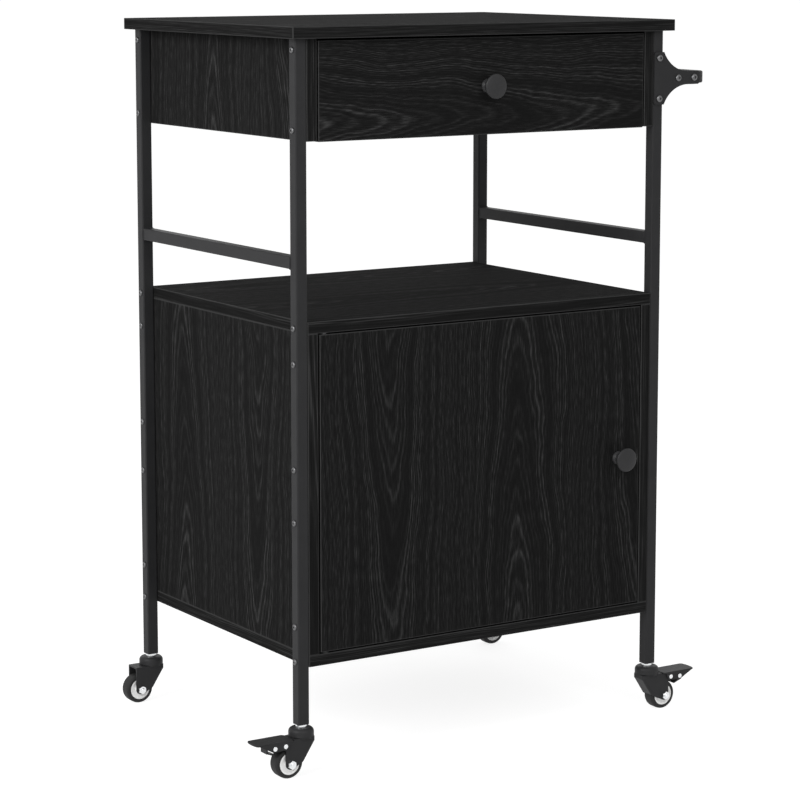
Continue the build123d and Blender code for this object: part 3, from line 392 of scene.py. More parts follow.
@dataclass(frozen=True)
class SurfaceFinish:
    """Plain finish whose colour, gloss and relief vary a little with two noises of real size.

    Attributes:
        dark: Colour where the broad noise is low.
        light: Colour where the broad noise is high.
        roughness: Middle roughness.
        roughness_range: How far the roughness swings.
        metallic: 1 for bare metal.
        specular: Specular level of a non-metal; 0.5 is plain.
        patch: Size of the broad colour patches, in millimetres.
        grit: Size of the fine relief, in millimetres.
        relief: Height of the fine relief, in millimetres.
        stretch: How much longer the fine relief is along Z, as in wood.
    """

    name: str
    dark: str
    light: str
    roughness: float
    roughness_range: float = 0.06
    metallic: float = 0.0
    specular: float = 0.5
    patch: float = 30.0
    grit: float = 1.2
    relief: float = 0.04
    stretch: float = 1.0

    @cache
    def material(self) -> Material:
        """Make the finish's material, only once for all that it covers.

        Returns:
            The material.
        """
        material, add = new_material(self.name)
        place = add("TexCoord").outputs["Object"]
        patches = {"Scale": 1.0 / (self.patch * MM), "Detail": 4.0, "Roughness": 0.6}
        broad = add("TexNoise", patches, {"Vector": place})
        drawn = add("Mapping", {"Scale": (1.0, 1.0, 1.0 / self.stretch)}, {0: place})
        fine = add("TexNoise", {"Scale": 1.0 / (self.grit * MM), "Detail": 3.0}, {"Vector": drawn})
        inks = {"data_type": "RGBA", 6: linear(self.dark), 7: linear(self.light)}
        colour = add("Mix", inks, {0: broad})
        # Nearly all of the noise lies between 0.3 and 0.7.
        shine = {
            "From Min": 0.3,
            "From Max": 0.7,
            "To Min": self.roughness - self.roughness_range,
            "To Max": self.roughness + self.roughness_range,
        }
        gloss = add("MapRange", shine, {"Value": fine})
        bump = add("Bump", {"Strength": 0.6, "Distance": self.relief * MM}, {"Height": fine})
        surface = {"Base Color": colour.outputs[2], "Roughness": gloss, "Normal": bump}
        settings = {"Metallic": self.metallic, "Specular IOR Level": self.specular}
        shader = add("BsdfPrincipled", settings, surface)
        add("OutputMaterial", links={0: shader})
        return material


# Polyester powder coat, sprayed and baked: satin black with a fine orange peel, drawn at 1.4 mm to show.
POWDER_COAT = SurfaceFinish(
    "black powder-coated steel", "#252526", "#2f2f30", 0.5, specular=0.12, grit=1.4, relief=0.05
)
# Dipped enamel on pressed steel: satin near black, a little wavy where it ran off the edges.
ENAMEL = SurfaceFinish(
    "black caster enamel", "#272728", "#303031", 0.46, specular=0.14, grit=4.0, relief=0.03
)
# Bright zinc plate on cold-headed and turned steel: clear silver with soft reflections.
BRIGHT_ZINC = SurfaceFinish(
    "bright zinc plated steel", "#d2d4d6", "#f0f1f2", 0.2, metallic=1.0, patch=6.0, grit=0.6, relief=0.01
)
# Black zinc plate on small screws: dark grey metal with a soft light crescent round each button head.
BLACK_ZINC = SurfaceFinish(
    "black zinc plated steel", "#5a5a5b", "#727273", 0.34, metallic=1.0, patch=5.0, grit=0.6, relief=0.01
)
# Dull zinc plate on rolled strip: pale grey, between silver and matt.
ROLLED_ZINC = SurfaceFinish(
    "dull zinc plated strip", "#8e9194", "#a9acaf", 0.36, metallic=1.0, patch=20.0, grit=0.5, relief=0.01
)
# Satin black paint on a die-cast knob, smoother than the powder coat and lighter than the boards.
KNOB_PAINT = SurfaceFinish(
    "satin black knob paint", "#262627", "#303031", 0.4, specular=0.2, grit=0.9, relief=0.02
)
# Moulded glass-filled nylon: flat black with a faint spark grain.
NYLON = SurfaceFinish("moulded black nylon", "#1b1b1c", "#232324", 0.55, grit=0.8, relief=0.05)
# Moulded rubber tread: the dullest black on the cart.
RUBBER = SurfaceFinish(
    "moulded black tyre rubber", "#131313", "#1d1d1d", 0.68, specular=0.35, grit=1.1, relief=0.08
)
# Injection moulded polypropylene: a clean white, a little uneven.
HUB_PLASTIC = SurfaceFinish(
    "white moulded polypropylene", "#f6f6f5", "#fdfdfc", 0.34, patch=12.0, grit=0.8, relief=0.02
)
# Turned beech: pale, dry and dull.
BEECH = SurfaceFinish("turned beech", "#b98f62", "#d3ad80", 0.6, patch=4.0, grit=0.7, stretch=8.0)
# Roller-lacquered thin fibreboard: flat black with a felt-like mottle.
LACQUERED_BOARD = SurfaceFinish(
    "black lacquered fibreboard", "#191919", "#222222", 0.6, specular=0.1, patch=8.0, grit=1.6, relief=0.06
)


def show_piece(name: str, shell: Shell, smooth_angle: float = 35.0) -> bpy.types.Object:
    """Put a finished surface into the scene.

    Args:
        name: Name of the piece.
        shell: Its vertices and faces.
        smooth_angle: Edges flatter than this many degrees are shaded smooth.

    Returns:
        The new object, at the origin, unturned and unscaled.
    """
    points, faces = shell
    quads = faces[faces[:, 2] != faces[:, 3]]
    triangles = faces[faces[:, 2] == faces[:, 3]][:, :3]
    mesh = bpy.data.meshes.new(name)
    mesh.from_pydata(points.reshape(-1, 3), [], quads.tolist() + triangles.tolist())
    mesh.validate()
    mesh.shade_smooth()
    mesh.set_sharp_from_angle(angle=math.radians(smooth_angle))
    piece = bpy.data.objects.new(name, mesh)
    bpy.context.scene.collection.objects.link(piece)
    return piece


def closed_lathe(rings: np.ndarray) -> Shell:
    """Close a stack of rings into one shell with a pole at each end.

    Row i of the grid is a closed ring of points. Neighbouring rings are joined by quads, and the first
    and the last ring are closed to their mean point by triangles.

    Args:
        rings: Array of ring, point round the ring, and coordinate.

    Returns:
        Vertices and faces.
    """
    count, around = rings.shape[:2]
    numbers = np.arange(count * around).reshape(count, around)
    right = np.roll(numbers, -1, axis=1)
    quads = np.stack([numbers[:-1], right[:-1], right[1:], numbers[1:]], axis=-1).reshape(-1, 4)
    low, high = count * around, count * around + 1
    low_fan = np.stack([np.full(around, low), right[0], numbers[0], numbers[0]], axis=-1)
    high_fan = np.stack([np.full(around, high), numbers[-1], right[-1], right[-1]], axis=-1)
    places = np.concatenate([rings.reshape(-1, 3), rings[:1].mean(axis=1), rings[-1:].mean(axis=1)])
    return places, np.concatenate([quads, low_fan, high_fan])


def closed_ring(rings: np.ndarray) -> Shell:
    """Join a closed loop of closed rings into a shell with a hole through it, such as a tyre.

    Args:
        rings: Array of ring, point round the ring, and coordinate.

    Returns:
        Vertices and faces.
    """
    count, around = rings.shape[:2]
    numbers = np.arange(count * around).reshape(count, around)
    right = np.roll(numbers, -1, axis=1)
    below = np.roll(numbers, -1, axis=0)
    corner = np.roll(right, -1, axis=0)
    return rings.reshape(-1, 3), np.stack([numbers, right, corner, below], axis=-1).reshape(-1, 4)


def full_turn(steps: int) -> np.ndarray:
    """Give the angles of equal steps round a circle."""
    return np.linspace(0, 2 * np.pi, steps, endpoint=False)


def turned(radius: np.ndarray, height: np.ndarray, angle: np.ndarray) -> np.ndarray:
    """Stand rings of points about +Z.

    Args:
        radius: Radius of each ring, the same all round or one for each angle.
        height: Height of each ring.
        angle: Angles of the points.

    Returns:
        Rings of points.
    """
    return np.stack([radius * np.cos(angle), radius * np.sin(angle), height + 0 * angle], axis=-1)


def hexagon(flats: float, from_flat: np.ndarray) -> np.ndarray:
    """Give a hexagon's radius: half its flats over the cosine of the angle from a flat's middle."""
    return flats / 2 / np.cos(from_flat)


def arc(centre: Pair, radius: float, start: float, end: float, steps: int) -> np.ndarray:
    """Give points on a circular arc.

    Args:
        centre: Middle of the circle, as radius and height.
        radius: Radius of the arc.
        start: First angle in degrees, from the outward radius towards +Z.
        end: Last angle in degrees.
        steps: Number of points.

    Returns:
        Rows of radius and height.
    """
    angle = np.radians(np.linspace(start, end, steps))
    return np.stack([centre[0] + radius * np.cos(angle), centre[1] + radius * np.sin(angle)], axis=-1)


def smooth_curve(knots: np.ndarray, steps: int) -> np.ndarray:
    """Give a smooth curve through knots: each span is the cubic whose end slopes follow its neighbours.

    Args:
        knots: Rows of coordinates.
        steps: Points in each span.

    Returns:
        Rows of points from the first knot to the last.
    """
    padded = np.concatenate([knots[:1], knots, knots[-1:]])
    t = np.linspace(0, 1, steps, endpoint=False)[:, None]
    before, start, end, after = (padded[i : len(padded) - 3 + i, None] for i in range(4))
    cubic = 0.5 * (
        2 * start
        + (end - before) * t
        + (2 * before - 5 * start + 4 * end - after) * t**2
        + (3 * start - before - 3 * end + after) * t**3
    )
    return np.concatenate([cubic.reshape(-1, knots.shape[1]), knots[-1:]])


def placed(points: np.ndarray, origin: Triple, axis: Triple) -> np.ndarray:
    """Turn points made about +Z to stand on another axis, and move them to a place.

    Args:
        points: Array whose last index is the coordinate.
        origin: Where the points' own origin goes.
        axis: Direction that the points' own +Z takes.

    Returns:
        The moved points.
    """
    turn = np.array(Vector((0, 0, 1)).rotation_difference(Vector(axis)).to_matrix())
    return points @ turn.T + np.array(origin)


def joined(parts: list[Shell]) -> Shell:
    """Join several shells into one set of vertices and faces."""
    starts = np.cumsum([0] + [len(points) for points, _ in parts[:-1]])
    faces = [faces + start for (_, faces), start in zip(parts, starts)]
    return np.concatenate([points for points, _ in parts]), np.concatenate(faces)


def repeated(shell: Shell, places: list[tuple[Triple, Triple]]) -> Shell:
    """Repeat a shell made about +Z.

    Args:
        shell: Its vertices and faces.
        places: Origin and direction of each copy.

    Returns:
        Vertices and faces of all copies.
    """
    points, faces = shell
    return joined([(placed(points, origin, axis), faces) for origin, axis in places])


@dataclass(frozen=True)
class SocketScrew:
    """Button-head screw with a hexagon socket.

    Attributes:
        shank_length: Below the seat.
        socket_depth: Below the head's flat land.
        land_share: Radius of that land, over half the socket's flats.
        rim_share: Height of the head's upright rim, over the head's.
        edge_share: Width of the seat's broken edge, over the head's radius.
        point_share: Radius of the shank's end, over the shank's.
        socket_rings: Shares of the flats and of the depth, from the socket's mouth to its floor.
    """

    head_diameter: float
    head_height: float
    shank_diameter: float
    shank_length: float
    socket_flats: float
    socket_depth: float
    land_share: float = 1.28
    rim_share: float = 0.22
    edge_share: float = 0.03
    point_share: float = 0.6
    socket_rings: Pairs = ((1.06, 0.0), (1.0, 0.12), (1.0, 1.0), (0.3, 1.0))
    around: int = 36

    def shell(self) -> Shell:
        """Work out the screw about +Z, its seat at height 0.

        The outside is a turned profile whose head is a quarter of an ellipse over an upright rim. The
        socket's rings are hexagons.

        Returns:
            Vertices and faces.
        """
        head, shank = self.head_diameter / 2, self.shank_diameter / 2
        land = self.socket_flats / 2 * self.land_share
        tilt = np.linspace(0, np.pi / 2, 9)
        crown_radius = head - (head - land) * (1 - np.cos(tilt))
        crown_height = self.head_height * (self.rim_share + (1 - self.rim_share) * np.sin(tilt))
        point = shank * self.point_share
        lower = [(point, -self.shank_length), (shank, shank - point - self.shank_length), (shank, 0.0)]
        rim = [(head * (1 - self.edge_share), 0.0), (head, self.head_height * self.edge_share * 2)]
        profile = np.concatenate([lower, rim, np.stack([crown_radius, crown_height], axis=-1)])
        angle = full_turn(self.around)
        widths, depths = (np.array(shares)[:, None] for shares in zip(*self.socket_rings))
        radius = widths * hexagon(self.socket_flats, np.mod(angle, np.pi / 3) - np.pi / 6)
        socket = turned(radius, self.head_height - depths * self.socket_depth, angle)
        return closed_lathe(np.concatenate([turned(*np.hsplit(profile, 2), angle), socket]))


def dress(material: Material, *nodes: str) -> None:
    """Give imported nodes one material, with their flat and round faces shaded as they are.

    Args:
        material: The finish.
        nodes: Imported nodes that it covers.
    """
    for node in nodes:
        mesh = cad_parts[node].data
        mesh.materials.clear()
        mesh.materials.append(material)
        LOG.info("dressed %s in %s", node, material.name)


def stand_for(piece: bpy.types.Object, material: Material, body: str, slot: str, *nodes: str) -> None:
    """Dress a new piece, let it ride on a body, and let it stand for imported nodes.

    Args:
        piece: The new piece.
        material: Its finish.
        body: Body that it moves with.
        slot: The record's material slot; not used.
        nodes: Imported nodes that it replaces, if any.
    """
    piece.data.materials.append(material)
    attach(piece, body)
    if nodes:
        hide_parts(*nodes)
    LOG.info("built %s on %s", piece.name, body)


@dataclass
class SteelFrame:
    """Legs, guard bars with their weld beads, and the screws through the legs.

    Attributes:
        bead_ripple: How far the bead swells, as a share of its radius.
        bead_beats: Ripples round the bar, and slower beats that make them stronger and weaker.
        bead_squareness: Power of the bead's outline; 2 is a circle, and more is squarer.
        bead_inset: How far the bead's middle lies inside the bar's faces.
        bead_flatness: Height of the bead along the bar, over its width.
    """

    legs: tuple[str, ...] = ("front_left_leg", "front_right_leg", "back_left_leg", "back_right_leg")
    bars: tuple[str, ...] = ("left_guard_bar", "right_guard_bar")
    bead_radius: float = 1.7 * MM
    bead_ripple: float = 0.16
    bead_beats: tuple[int, int] = (26, 3)
    bead_squareness: float = 7.0
    bead_inset: float = 0.2 * MM
    bead_flatness: float = 0.9
    screw_heights: tuple[float, ...] = (0.921, 0.822, 0.194, 0.328, 0.396, 0.53, 0.5755, 0.1485)
    screw: SocketScrew = SocketScrew(8.0 * MM, 2.2 * MM, 4.0 * MM, 26.0 * MM, 2.5 * MM, 1.3 * MM)

    def weld_bead(self, bar: str, at_front: bool) -> Shell:
        """Work out the weld bead round one end of a guard bar.

        The bead is a small circle carried round the bar's rounded square outline, in the plane of the
        leg's face. It swells and shrinks along the outline, as laid beads do. The outline's radius is
        the sum of the cosine's and the sine's powers, to the power of minus one over that power.

        Args:
            bar: Node name of the bar.
            at_front: Whether it is the bar's front end.

        Returns:
            Vertices and faces.
        """
        low, high = (np.array(corner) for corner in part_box(bar))
        middle, half = (low + high) / 2, (high[0] - low[0]) / 2 - self.bead_inset
        angle, turn = full_turn(160), full_turn(10)
        power = self.bead_squareness
        ripples, beats = self.bead_beats
        reach = half * (np.abs(np.cos(angle)) ** power + np.abs(np.sin(angle)) ** power) ** (-1 / power)
        swell = 1 + self.bead_ripple * np.sin(angle * ripples) * np.sin(angle * beats + 1)
        thickness = self.bead_radius * swell[:, None]
        radius = reach[:, None] + thickness * np.cos(turn)
        rise = thickness * np.sin(turn) * self.bead_flatness
        x = middle[0] + radius * np.cos(angle)[:, None]
        y = low[1] + rise if at_front else high[1] - rise
        z = middle[2] + radius * np.sin(angle)[:, None]
        points, faces = closed_ring(np.stack([x, y, z], axis=-1))
        return points, (faces if at_front else faces[:, ::-1])

    def build(self) -> None:
        """Dress the tubes and build the beads and the side screws."""
        dress(POWDER_COAT.material(), *self.legs, *self.bars)
        dress(NYLON.material(), "leg_bottom_inserts")
        dress(BRIGHT_ZINC.material(), "caster_stems")
        for bar in self.bars:
            beads = joined([self.weld_bead(bar, at_front) for at_front in (True, False)])
            welds = show_piece(f"{bar}_welds", beads, smooth_angle=50.0)
            stand_for(welds, POWDER_COAT.material(), "cart", "frame_steel")
        places = []
        for leg in self.legs:
            low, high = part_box(leg)
            face_x, way = (low.x, -1.0) if "left" in leg else (high.x, 1.0)
            middle_y = (low.y + high.y) / 2
            places += [((face_x, middle_y, z), (way, 0.0, 0.0)) for z in self.screw_heights]
        screws = show_piece("side_socket_screws", repeated(self.screw.shell(), places))
        stand_for(screws, BLACK_ZINC.material(), "cart", "black_zinc", "frame_screws")


@dataclass
class PushHandle:
    """Bent tube rail, two bracket plates and their bolts.

    The bolts' offsets run out from the leg's side and up from the rail's middle.
    """

    plates: tuple[str, str] = ("handle_front_bracket", "handle_back_bracket")
    rail_height: float = 0.8715
    bolt_offsets: Pairs = ((0.024, 0.0), (0.051, 0.0), (-0.008, -0.027), (-0.008, 0.027))
    bolt: SocketScrew = SocketScrew(9.5 * MM, 2.75 * MM, 5.0 * MM, 12.5 * MM, 3.0 * MM, 1.6 * MM)

    def build(self) -> None:
        """Dress the rail and plates and build the bolts."""
        dress(POWDER_COAT.material(), "handle_rail", *self.plates)
        front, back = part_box(self.plates[0])[0].y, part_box(self.plates[1])[1].y
        leg_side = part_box("front_right_leg")[1].x
        spots = [(leg_side + run, self.rail_height + rise) for run, rise in self.bolt_offsets]
        places = [((x, front, z), (0.0, -1.0, 0.0)) for x, z in spots]
        places += [((x, back, z), (0.0, 1.0, 0.0)) for x, z in spots]
        bolts = show_piece("handle_socket_bolts", repeated(self.bolt.shell(), places))
        stand_for(bolts, BLACK_ZINC.material(), "cart", "black_zinc", "handle_bolts")


def lay_foil(lays: dict[str, GrainLay]) -> None:
    """Give each board its own foil."""
    for node, lay in lays.items():
        dress(OakFoil().material(node, lay), node)


class Boards:
    """Worktop, drawer case and cabinet boards, each with its own leaves of grain."""

    def build(self) -> None:
        """Dress the fixed boards and what joins them."""
        level = (Axis.X, Axis.Y)
        upright = (Axis.Z, Axis.Y)
        boards = {
            "top_board": GrainLay(*level, 0.04, 2.0),
            "shelf_board": GrainLay(*level, -0.05, 5.0),
            "bottom_board": GrainLay(*level, 0.02, 9.0),
            "cabinet_left_panel": GrainLay(*upright, 0.12, 14.0),
            "cabinet_right_panel": GrainLay(*upright, -0.08, 17.0),
            "drawer_case_left": GrainLay(*upright, 0.03, 23.0),
            "drawer_case_right": GrainLay(*upright, -0.06, 29.0),
            "drawer_case_back": GrainLay(Axis.X, Axis.Z, 0.86, 31.0),
        }
        lay_foil(boards)
        dress(LACQUERED_BOARD.material(), "cabinet_back")
        dress(BEECH.material(), "board_dowels")
        dress(NYLON.material(), "catch_magnet", "door_hinge_bushes")


@dataclass(frozen=True)
class Knob:
    """Turned mushroom knob, the same on the drawer and on the door.

    Attributes:
        projection: From the front to the crown.
        foot: Radius and height of the foot's points, in millimetres.
        neck: Radius and height of points on the neck's curve, in millimetres.
        rim_centre: Radius and height of the rim's middle.
        crown_edge: Radius and height at which the crown's curve would end.
        crown_ends: Radius of the crown's outermost and innermost ring.
    """

    diameter: float = 33.0 * MM
    projection: float = 24.0 * MM
    foot: Pairs = ((8.4, 0.0), (9.0, 0.6), (9.0, 2.2), (8.5, 2.9))
    neck: Pairs = ((8.1, 3.3), (6.9, 5.2), (6.3, 9.0), (6.6, 13.0), (8.4, 16.4), (11.6, 18.2), (14.6, 18.9))
    rim_centre: Pair = (14.4 * MM, 20.6 * MM)
    rim_radius: float = 1.6 * MM
    rim_angles: Pair = (-60.0, 66.0)
    crown_edge: Pair = (15.05 * MM, 22.1 * MM)
    crown_ends: Pair = (14.9 * MM, 0.8 * MM)
    around: int = 80

    def build(self, name: str, node: str, body: str) -> None:
        """Turn one knob and let it stand for its node.

        The profile runs up the foot, in to the neck, out under the head, round the rim by an arc and
        over the crown, whose height falls with the square of the radius.

        Args:
            name: Name of the new piece.
            node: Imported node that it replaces.
            body: Body that it rides on.
        """
        low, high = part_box(node)
        seat = ((low.x + high.x) / 2, high.y, (low.z + high.z) / 2)
        neck = smooth_curve(np.array(self.neck) * MM, steps=6)
        rim = arc(self.rim_centre, self.rim_radius, *self.rim_angles, steps=9)
        edge_radius, edge_height = self.crown_edge
        radius = np.linspace(*self.crown_ends, num=14)
        height = self.projection - (self.projection - edge_height) * (radius / edge_radius) ** 2
        crown = np.stack([radius, height], axis=-1)
        profile = np.concatenate([np.array(self.foot) * MM, neck, rim, crown])
        profile[:, 0] = np.minimum(profile[:, 0], self.diameter / 2)
        rings = turned(*np.hsplit(profile, 2), full_turn(self.around))
        shell = closed_lathe(placed(rings, seat, (0.0, -1.0, 0.0)))
        stand_for(show_piece(name, shell), KNOB_PAINT.material(), body, "knob_black", node)


class Drawer:
    """Drawer front, box, runners and knob."""

    def build(self) -> None:
        """Dress the drawer and build its knob."""
        boards = {
            "drawer_front": GrainLay(Axis.X, Axis.Z, 0.832, 41.0),
            "drawer_left_side": GrainLay(Axis.Y, Axis.Z, 0.865, 47.0),
            "drawer_right_side": GrainLay(Axis.Y, Axis.Z, 0.865, 48.0),
            "drawer_back": GrainLay(Axis.X, Axis.Z, 0.865, 49.0),
        }
        lay_foil(boards)
        dress(LACQUERED_BOARD.material(), "drawer_floor")
        dress(BEECH.material(), "drawer_dowels")
        dress(BRIGHT_ZINC.material(), "drawer_knob_screw")
        runners = [f"{part}_{side}_runner" for part in ("drawer", "case") for side in ("left", "right")]
        dress(ROLLED_ZINC.material(), *runners)
        Knob().build("drawer_turned_knob", "drawer_knob", "drawer")


class Door:
    """Inset door, its knob, pins and keeper plate."""

    def build(self) -> None:
        """Dress the door and build its knob."""
        lay_foil({"door_panel": GrainLay(Axis.Z, Axis.X, 0.048, 61.0)})
        dress(BRIGHT_ZINC.material(), "door_knob_screw")
        dress(BLACK_ZINC.material(), "door_hinge_pins")
        dress(ROLLED_ZINC.material(), "door_catch_plate")
        Knob().build("door_turned_knob", "door_knob", "door")


@dataclass(frozen=True)
class AxleBolt:
    """Domed bolt through a fork, with a chamfered hexagon nut on its thread.

    Attributes:
        grip: Across the fork's two plates.
        dome_share: How much of the head's height is lost at its rim.
        thread_end: How far the thread stands out of the nut.
        point_share: Radius of the thread's end, over the thread's.
        chamfer: Height of the chamfers.
        chamfer_radius: To which the nut's corners are turned off.
    """

    shank_radius: float = 3.0 * MM
    grip: float = 24.0 * MM
    head_radius: float = 5.0 * MM
    head_height: float = 3.0 * MM
    dome_share: float = 0.75
    nut_flats: float = 10.0 * MM
    nut_height: float = 5.0 * MM
    thread_end: float = 1.5 * MM
    point_share: float = 0.8
    chamfer: float = 0.45 * MM
    chamfer_radius: float = 5.05 * MM
    around: int = 72

    def shell(self) -> Shell:
        """Work out the bolt about +Z, with the nut's seat at height 0 and the head below.

        The dome falls with the cube of the radius. Each ring has one height and, at each angle, the
        smaller of a circle's radius and the hexagon's, so wide circles leave the nut's six sides.

        Returns:
            Vertices and faces.
        """
        under, top, tip = -self.grip, self.nut_height, self.nut_height + self.thread_end
        share = np.linspace(0.2, 1.0, 7)
        dome = under - self.head_height * (1 - self.dome_share * share**3)
        shank, edge, wide = self.shank_radius, self.chamfer_radius, self.head_radius * 2
        neck = [(self.head_radius, under), (shank, under), (shank, 0.0)]
        sides = [(edge, 0.0), (wide, self.chamfer), (wide, top - self.chamfer), (edge, top)]
        end = [(shank, top), (shank, tip - self.chamfer), (shank * self.point_share, tip)]
        head = np.stack([self.head_radius * share, dome], axis=-1)
        profile = np.concatenate([head, neck, sides, end])
        angle = full_turn(self.around)
        nut = hexagon(self.nut_flats, np.mod(angle + np.pi / 6, np.pi / 3) - np.pi / 6)
        return closed_lathe(turned(np.minimum(profile[:, :1], nut), profile[:, 1:], angle))


@dataclass
class Caster:
    """One swivel caster: pressed fork, wheel with rubber tyre, axle bolt and perhaps a brake pedal.

    Attributes:
        corner: Corner of the cart, as its nodes' names start.
        wheel_radius: Of the tread's middle.
        tread_drop: How far the tread's arch would fall at the tyre's sides.
        shoulder: Radius of the tyre's shoulders.
        shoulder_drop: How far the shoulders' tops lie below the tread's middle.
        hub_radius: To the tyre's inside, which is narrower by the hub_inset on each side.
        rivet_rim: Height of a rivet head's upright rim.
        rivet_places: Distance from the axle and height of the rivets.
    """

    corner: str
    braked: bool
    wheel_radius: float = 20.0 * MM
    tyre_half_width: float = 9.0 * MM
    tread_drop: float = 0.35 * MM
    shoulder: float = 3.6 * MM
    shoulder_drop: float = 0.13 * MM
    hub_radius: float = 14.5 * MM
    hub_inset: float = 0.15 * MM
    fork_half_width: float = 12.0 * MM
    bolt: AxleBolt = AxleBolt()
    pedal_half_width: float = 14.1 * MM
    rivet_radius: float = 2.95 * MM
    rivet_height: float = 1.5 * MM
    rivet_rim: float = 1.25 * MM
    rivet_places: Pairs = ((9.0 * MM, 45.5 * MM), (24.5 * MM, 44.5 * MM))

    def tyre(self) -> np.ndarray:
        """Work out the tyre's section, carried round the axle.

        The tread is a flat arch that falls with the square of the way across, the shoulders are nearly
        quarter circles, and the sides fall straight to the hub's rim.

        Returns:
            Rings of points about +Z.
        """
        half, flank = self.tyre_half_width, self.tyre_half_width - self.shoulder
        across = np.linspace(-flank, flank, 11)
        tread = np.stack([self.wheel_radius - self.tread_drop * (across / half) ** 2, across], axis=-1)
        centre = self.wheel_radius - self.shoulder_drop - self.shoulder
        right = arc((centre, flank), self.shoulder, 5.0, 90.0, 7)
        left = arc((centre, -flank), self.shoulder, -90.0, -5.0, 7)
        rim = half - self.hub_inset
        inner = [(self.hub_radius, rim), (self.hub_radius, -rim)]
        section = np.concatenate([tread, right, inner, left])
        return turned(*np.hsplit(section, 2), full_turn(112))

    def rivets(self, axle: np.ndarray) -> Shell:
        """Work out the domed heads of the pedal's two rivets, on both of its skirts.

        A head rises straight for most of its height and then closes in nearly a quarter of an ellipse.

        Args:
            axle: Middle of the axle.

        Returns:
            Vertices and faces.
        """
        tilt = np.linspace(0, np.pi / 2 * 0.94, 9)
        height = self.rivet_rim + (self.rivet_height - self.rivet_rim) * np.sin(tilt)
        dome = np.stack([self.rivet_radius * np.cos(tilt), height], axis=-1)
        profile = np.concatenate([[(self.rivet_radius, 0.0)], dome])
        head = closed_lathe(turned(*np.hsplit(profile, 2), full_turn(36)))
        trail = -1.0 if "left" in self.corner else 1.0
        places = [
            ((axle[0] + trail * reach, axle[1] + side * self.pedal_half_width, z), (0.0, side, 0.0))
            for reach, z in self.rivet_places
            for side in (-1.0, 1.0)
        ]
        return repeated(head, places)

    def build(self) -> None:
        """Dress the caster and build its tyre, axle bolt and rivets."""
        zinc = BRIGHT_ZINC.material()
        dress(ENAMEL.material(), f"{self.corner}_fork")
        dress(HUB_PLASTIC.material(), f"{self.corner}_hub")
        node = f"{self.corner}_tyre"
        low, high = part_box(node)
        middle = np.array((low + high) / 2)
        shell = closed_ring(placed(self.tyre(), tuple(middle), (0.0, 1.0, 0.0)))
        tyre = show_piece(f"{self.corner}_rubber_tyre", shell)
        stand_for(tyre, RUBBER.material(), f"{self.corner}_wheel", "tyre_rubber", node)
        seat = (middle[0], middle[1] - self.fork_half_width, middle[2])
        shell = repeated(self.bolt.shell(), [(seat, (0.0, -1.0, 0.0))])
        bolt = show_piece(f"{self.corner}_axle_bolt", shell, smooth_angle=28.0)
        stand_for(bolt, zinc, f"{self.corner}_caster", "bright_steel", f"{self.corner}_axle")
        if self.braked:
            dress(ENAMEL.material(), f"{self.corner}_brake_pedal")
            rivets = show_piece(f"{self.corner}_pedal_rivets", self.rivets(middle))
            stand_for(rivets, zinc, f"{self.corner}_brake", "bright_steel")


@dataclass(frozen=True)
class SoftLamp:
    """Square soft lamp of a size in metres and a power in watts, that looks at the cart's middle."""

    name: str
    place: Triple
    size: float
    power: float
    target: Triple = (0.0, 0.0, 0.45)

    def hang(self) -> None:
        """Put the lamp into the scene."""
        data = bpy.data.lights.new(self.name, "AREA")
        data.energy = self.power
        data.size = self.size
        lamp = bpy.data.objects.new(self.name, data)
        lamp.location = self.place
        look = Vector(self.target) - Vector(self.place)
        lamp.rotation_euler = look.to_track_quat("-Z", "Y").to_euler()
        bpy.context.scene.collection.objects.link(lamp)


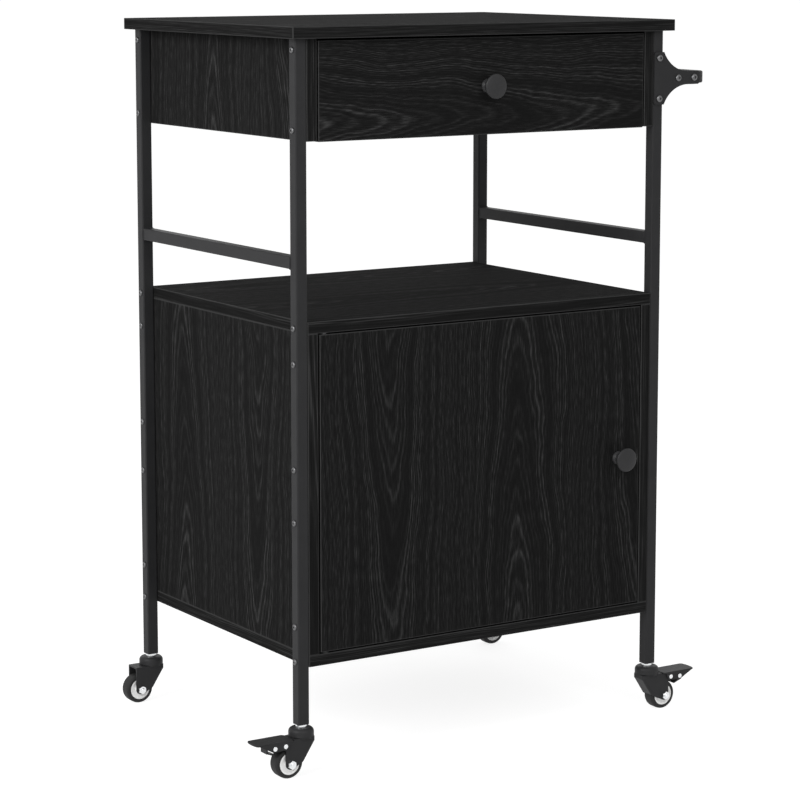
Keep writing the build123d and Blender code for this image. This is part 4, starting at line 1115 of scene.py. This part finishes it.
@dataclass
class Studio:
    """White surroundings, pale floor, three soft lamps and the camera.

    Attributes:
        camera_yaw: How far the camera is turned from +Y towards +X, in degrees.
        camera_tilt: How far it looks down, in degrees.
        lens: Focal length, in millimetres like the sensor's width.
        shift_y: Upward shift of the picture, as a share of its width.
        floor_half: Half the floor's side, so large that its edge can't be seen.
        floor_white: Strength of the floor's own white, beside its lit shade.
        soft_light: Strength of the white surroundings as a light.
    """

    camera_place: Triple = (-1.9833, -3.0969, 1.0531)
    camera_yaw: float = 32.548
    camera_tilt: float = 8.265
    lens: float = 122.33
    sensor: float = 36.0
    shift_y: float = -0.08
    clip_end: float = 400.0
    floor_half: float = 90.0
    floor_white: float = 0.84
    soft_light: float = 0.45
    lamps: tuple[SoftLamp, ...] = (
        SoftLamp("left lamp", (-3.2, -0.8, 2.0), 1.6, 78.0),
        SoftLamp("front lamp", (-0.4, -2.6, 2.0), 1.4, 20.0),
        SoftLamp("back lamp", (0.6, 2.6, 3.0), 2.0, 14.0),
    )

    def camera(self) -> None:
        """Set the camera at the photograph's viewing angle."""
        data = bpy.data.cameras.new("camera")
        data.lens = self.lens
        data.sensor_width = self.sensor
        data.shift_y = self.shift_y
        data.clip_end = self.clip_end
        camera = bpy.data.objects.new("camera", data)
        camera.location = self.camera_place
        camera.rotation_euler = (math.radians(90.0 - self.camera_tilt), 0.0, math.radians(-self.camera_yaw))
        bpy.context.scene.collection.objects.link(camera)
        bpy.context.scene.camera = camera

    def by_ray(self, add: Callable, light: Node, look: Node) -> Node:
        """Tell rays from the camera, mirrored rays and rays through glass from the rest.

        Args:
            add: Adds a node to the tree.
            light: Shader for the rest.
            look: Shader for those rays.

        Returns:
            The shader that chooses.
        """
        path = add("LightPath")
        rays = {0: path.outputs["Is Camera Ray"], 1: path.outputs["Is Glossy Ray"]}
        mirrored = add("Math", {"operation": "ADD"}, rays)
        rays = {0: mirrored, 1: path.outputs["Is Transmission Ray"]}
        seen = add("Math", {"operation": "ADD", "use_clamp": True}, rays)
        return add("MixShader", links={0: seen, 1: light, 2: look})

    def world(self) -> None:
        """Surround the cart with white for what is seen and mirrored, and softer light for the rest."""
        world = bpy.data.worlds.new("studio")
        world.use_nodes = True
        world.node_tree.nodes.clear()
        add = partial(add_node, world.node_tree)
        soft = add("Background", {"Color": linear("#ffffff"), "Strength": self.soft_light})
        white = add("Background", {"Color": linear("#ffffff"), "Strength": 1.0})
        add("OutputWorld", links={0: self.by_ray(add, soft, white)})
        bpy.context.scene.world = world

    def floor(self) -> None:
        """Lay the floor: paper that lights the cart, and a near white that takes shadow where seen."""
        side = self.floor_half
        corners = [(-side, -side, 0.0), (side, -side, 0.0), (side, side, 0.0), (-side, side, 0.0)]
        floor = show_piece("floor", (np.array(corners), np.array([[0, 1, 2, 3]])))
        material, add = new_material("white paper sweep")
        paper = add("BsdfDiffuse", {"Color": linear("#f4f4f4")})
        shade = add("BsdfDiffuse", {"Color": linear("#aaaaaa")})
        white = add("Emission", {"Color": linear("#ffffff"), "Strength": self.floor_white})
        shown = add("AddShader", links={0: shade, 1: white})
        add("OutputMaterial", links={0: self.by_ray(add, paper, shown)})
        floor.data.materials.append(material)

    def build(self) -> None:
        """Set up the whole studio."""
        self.camera()
        self.world()
        for lamp in self.lamps:
            lamp.hang()
        self.floor()
        LOG.info("set the studio")


def main() -> None:
    """Build the studio and every sub-assembly in order."""
    logging.basicConfig(level=logging.INFO, format="%(name)s: %(message)s")
    bpy.context.scene.view_settings.view_transform = "Standard"
    for assembly in (Studio(), SteelFrame(), PushHandle(), Boards(), Drawer(), Door()):
        assembly.build()
    for corner in ("front_left", "front_right", "back_left", "back_right"):
        Caster(corner, braked=corner.startswith("front")).build()


if __name__ == "__main__":
    main()
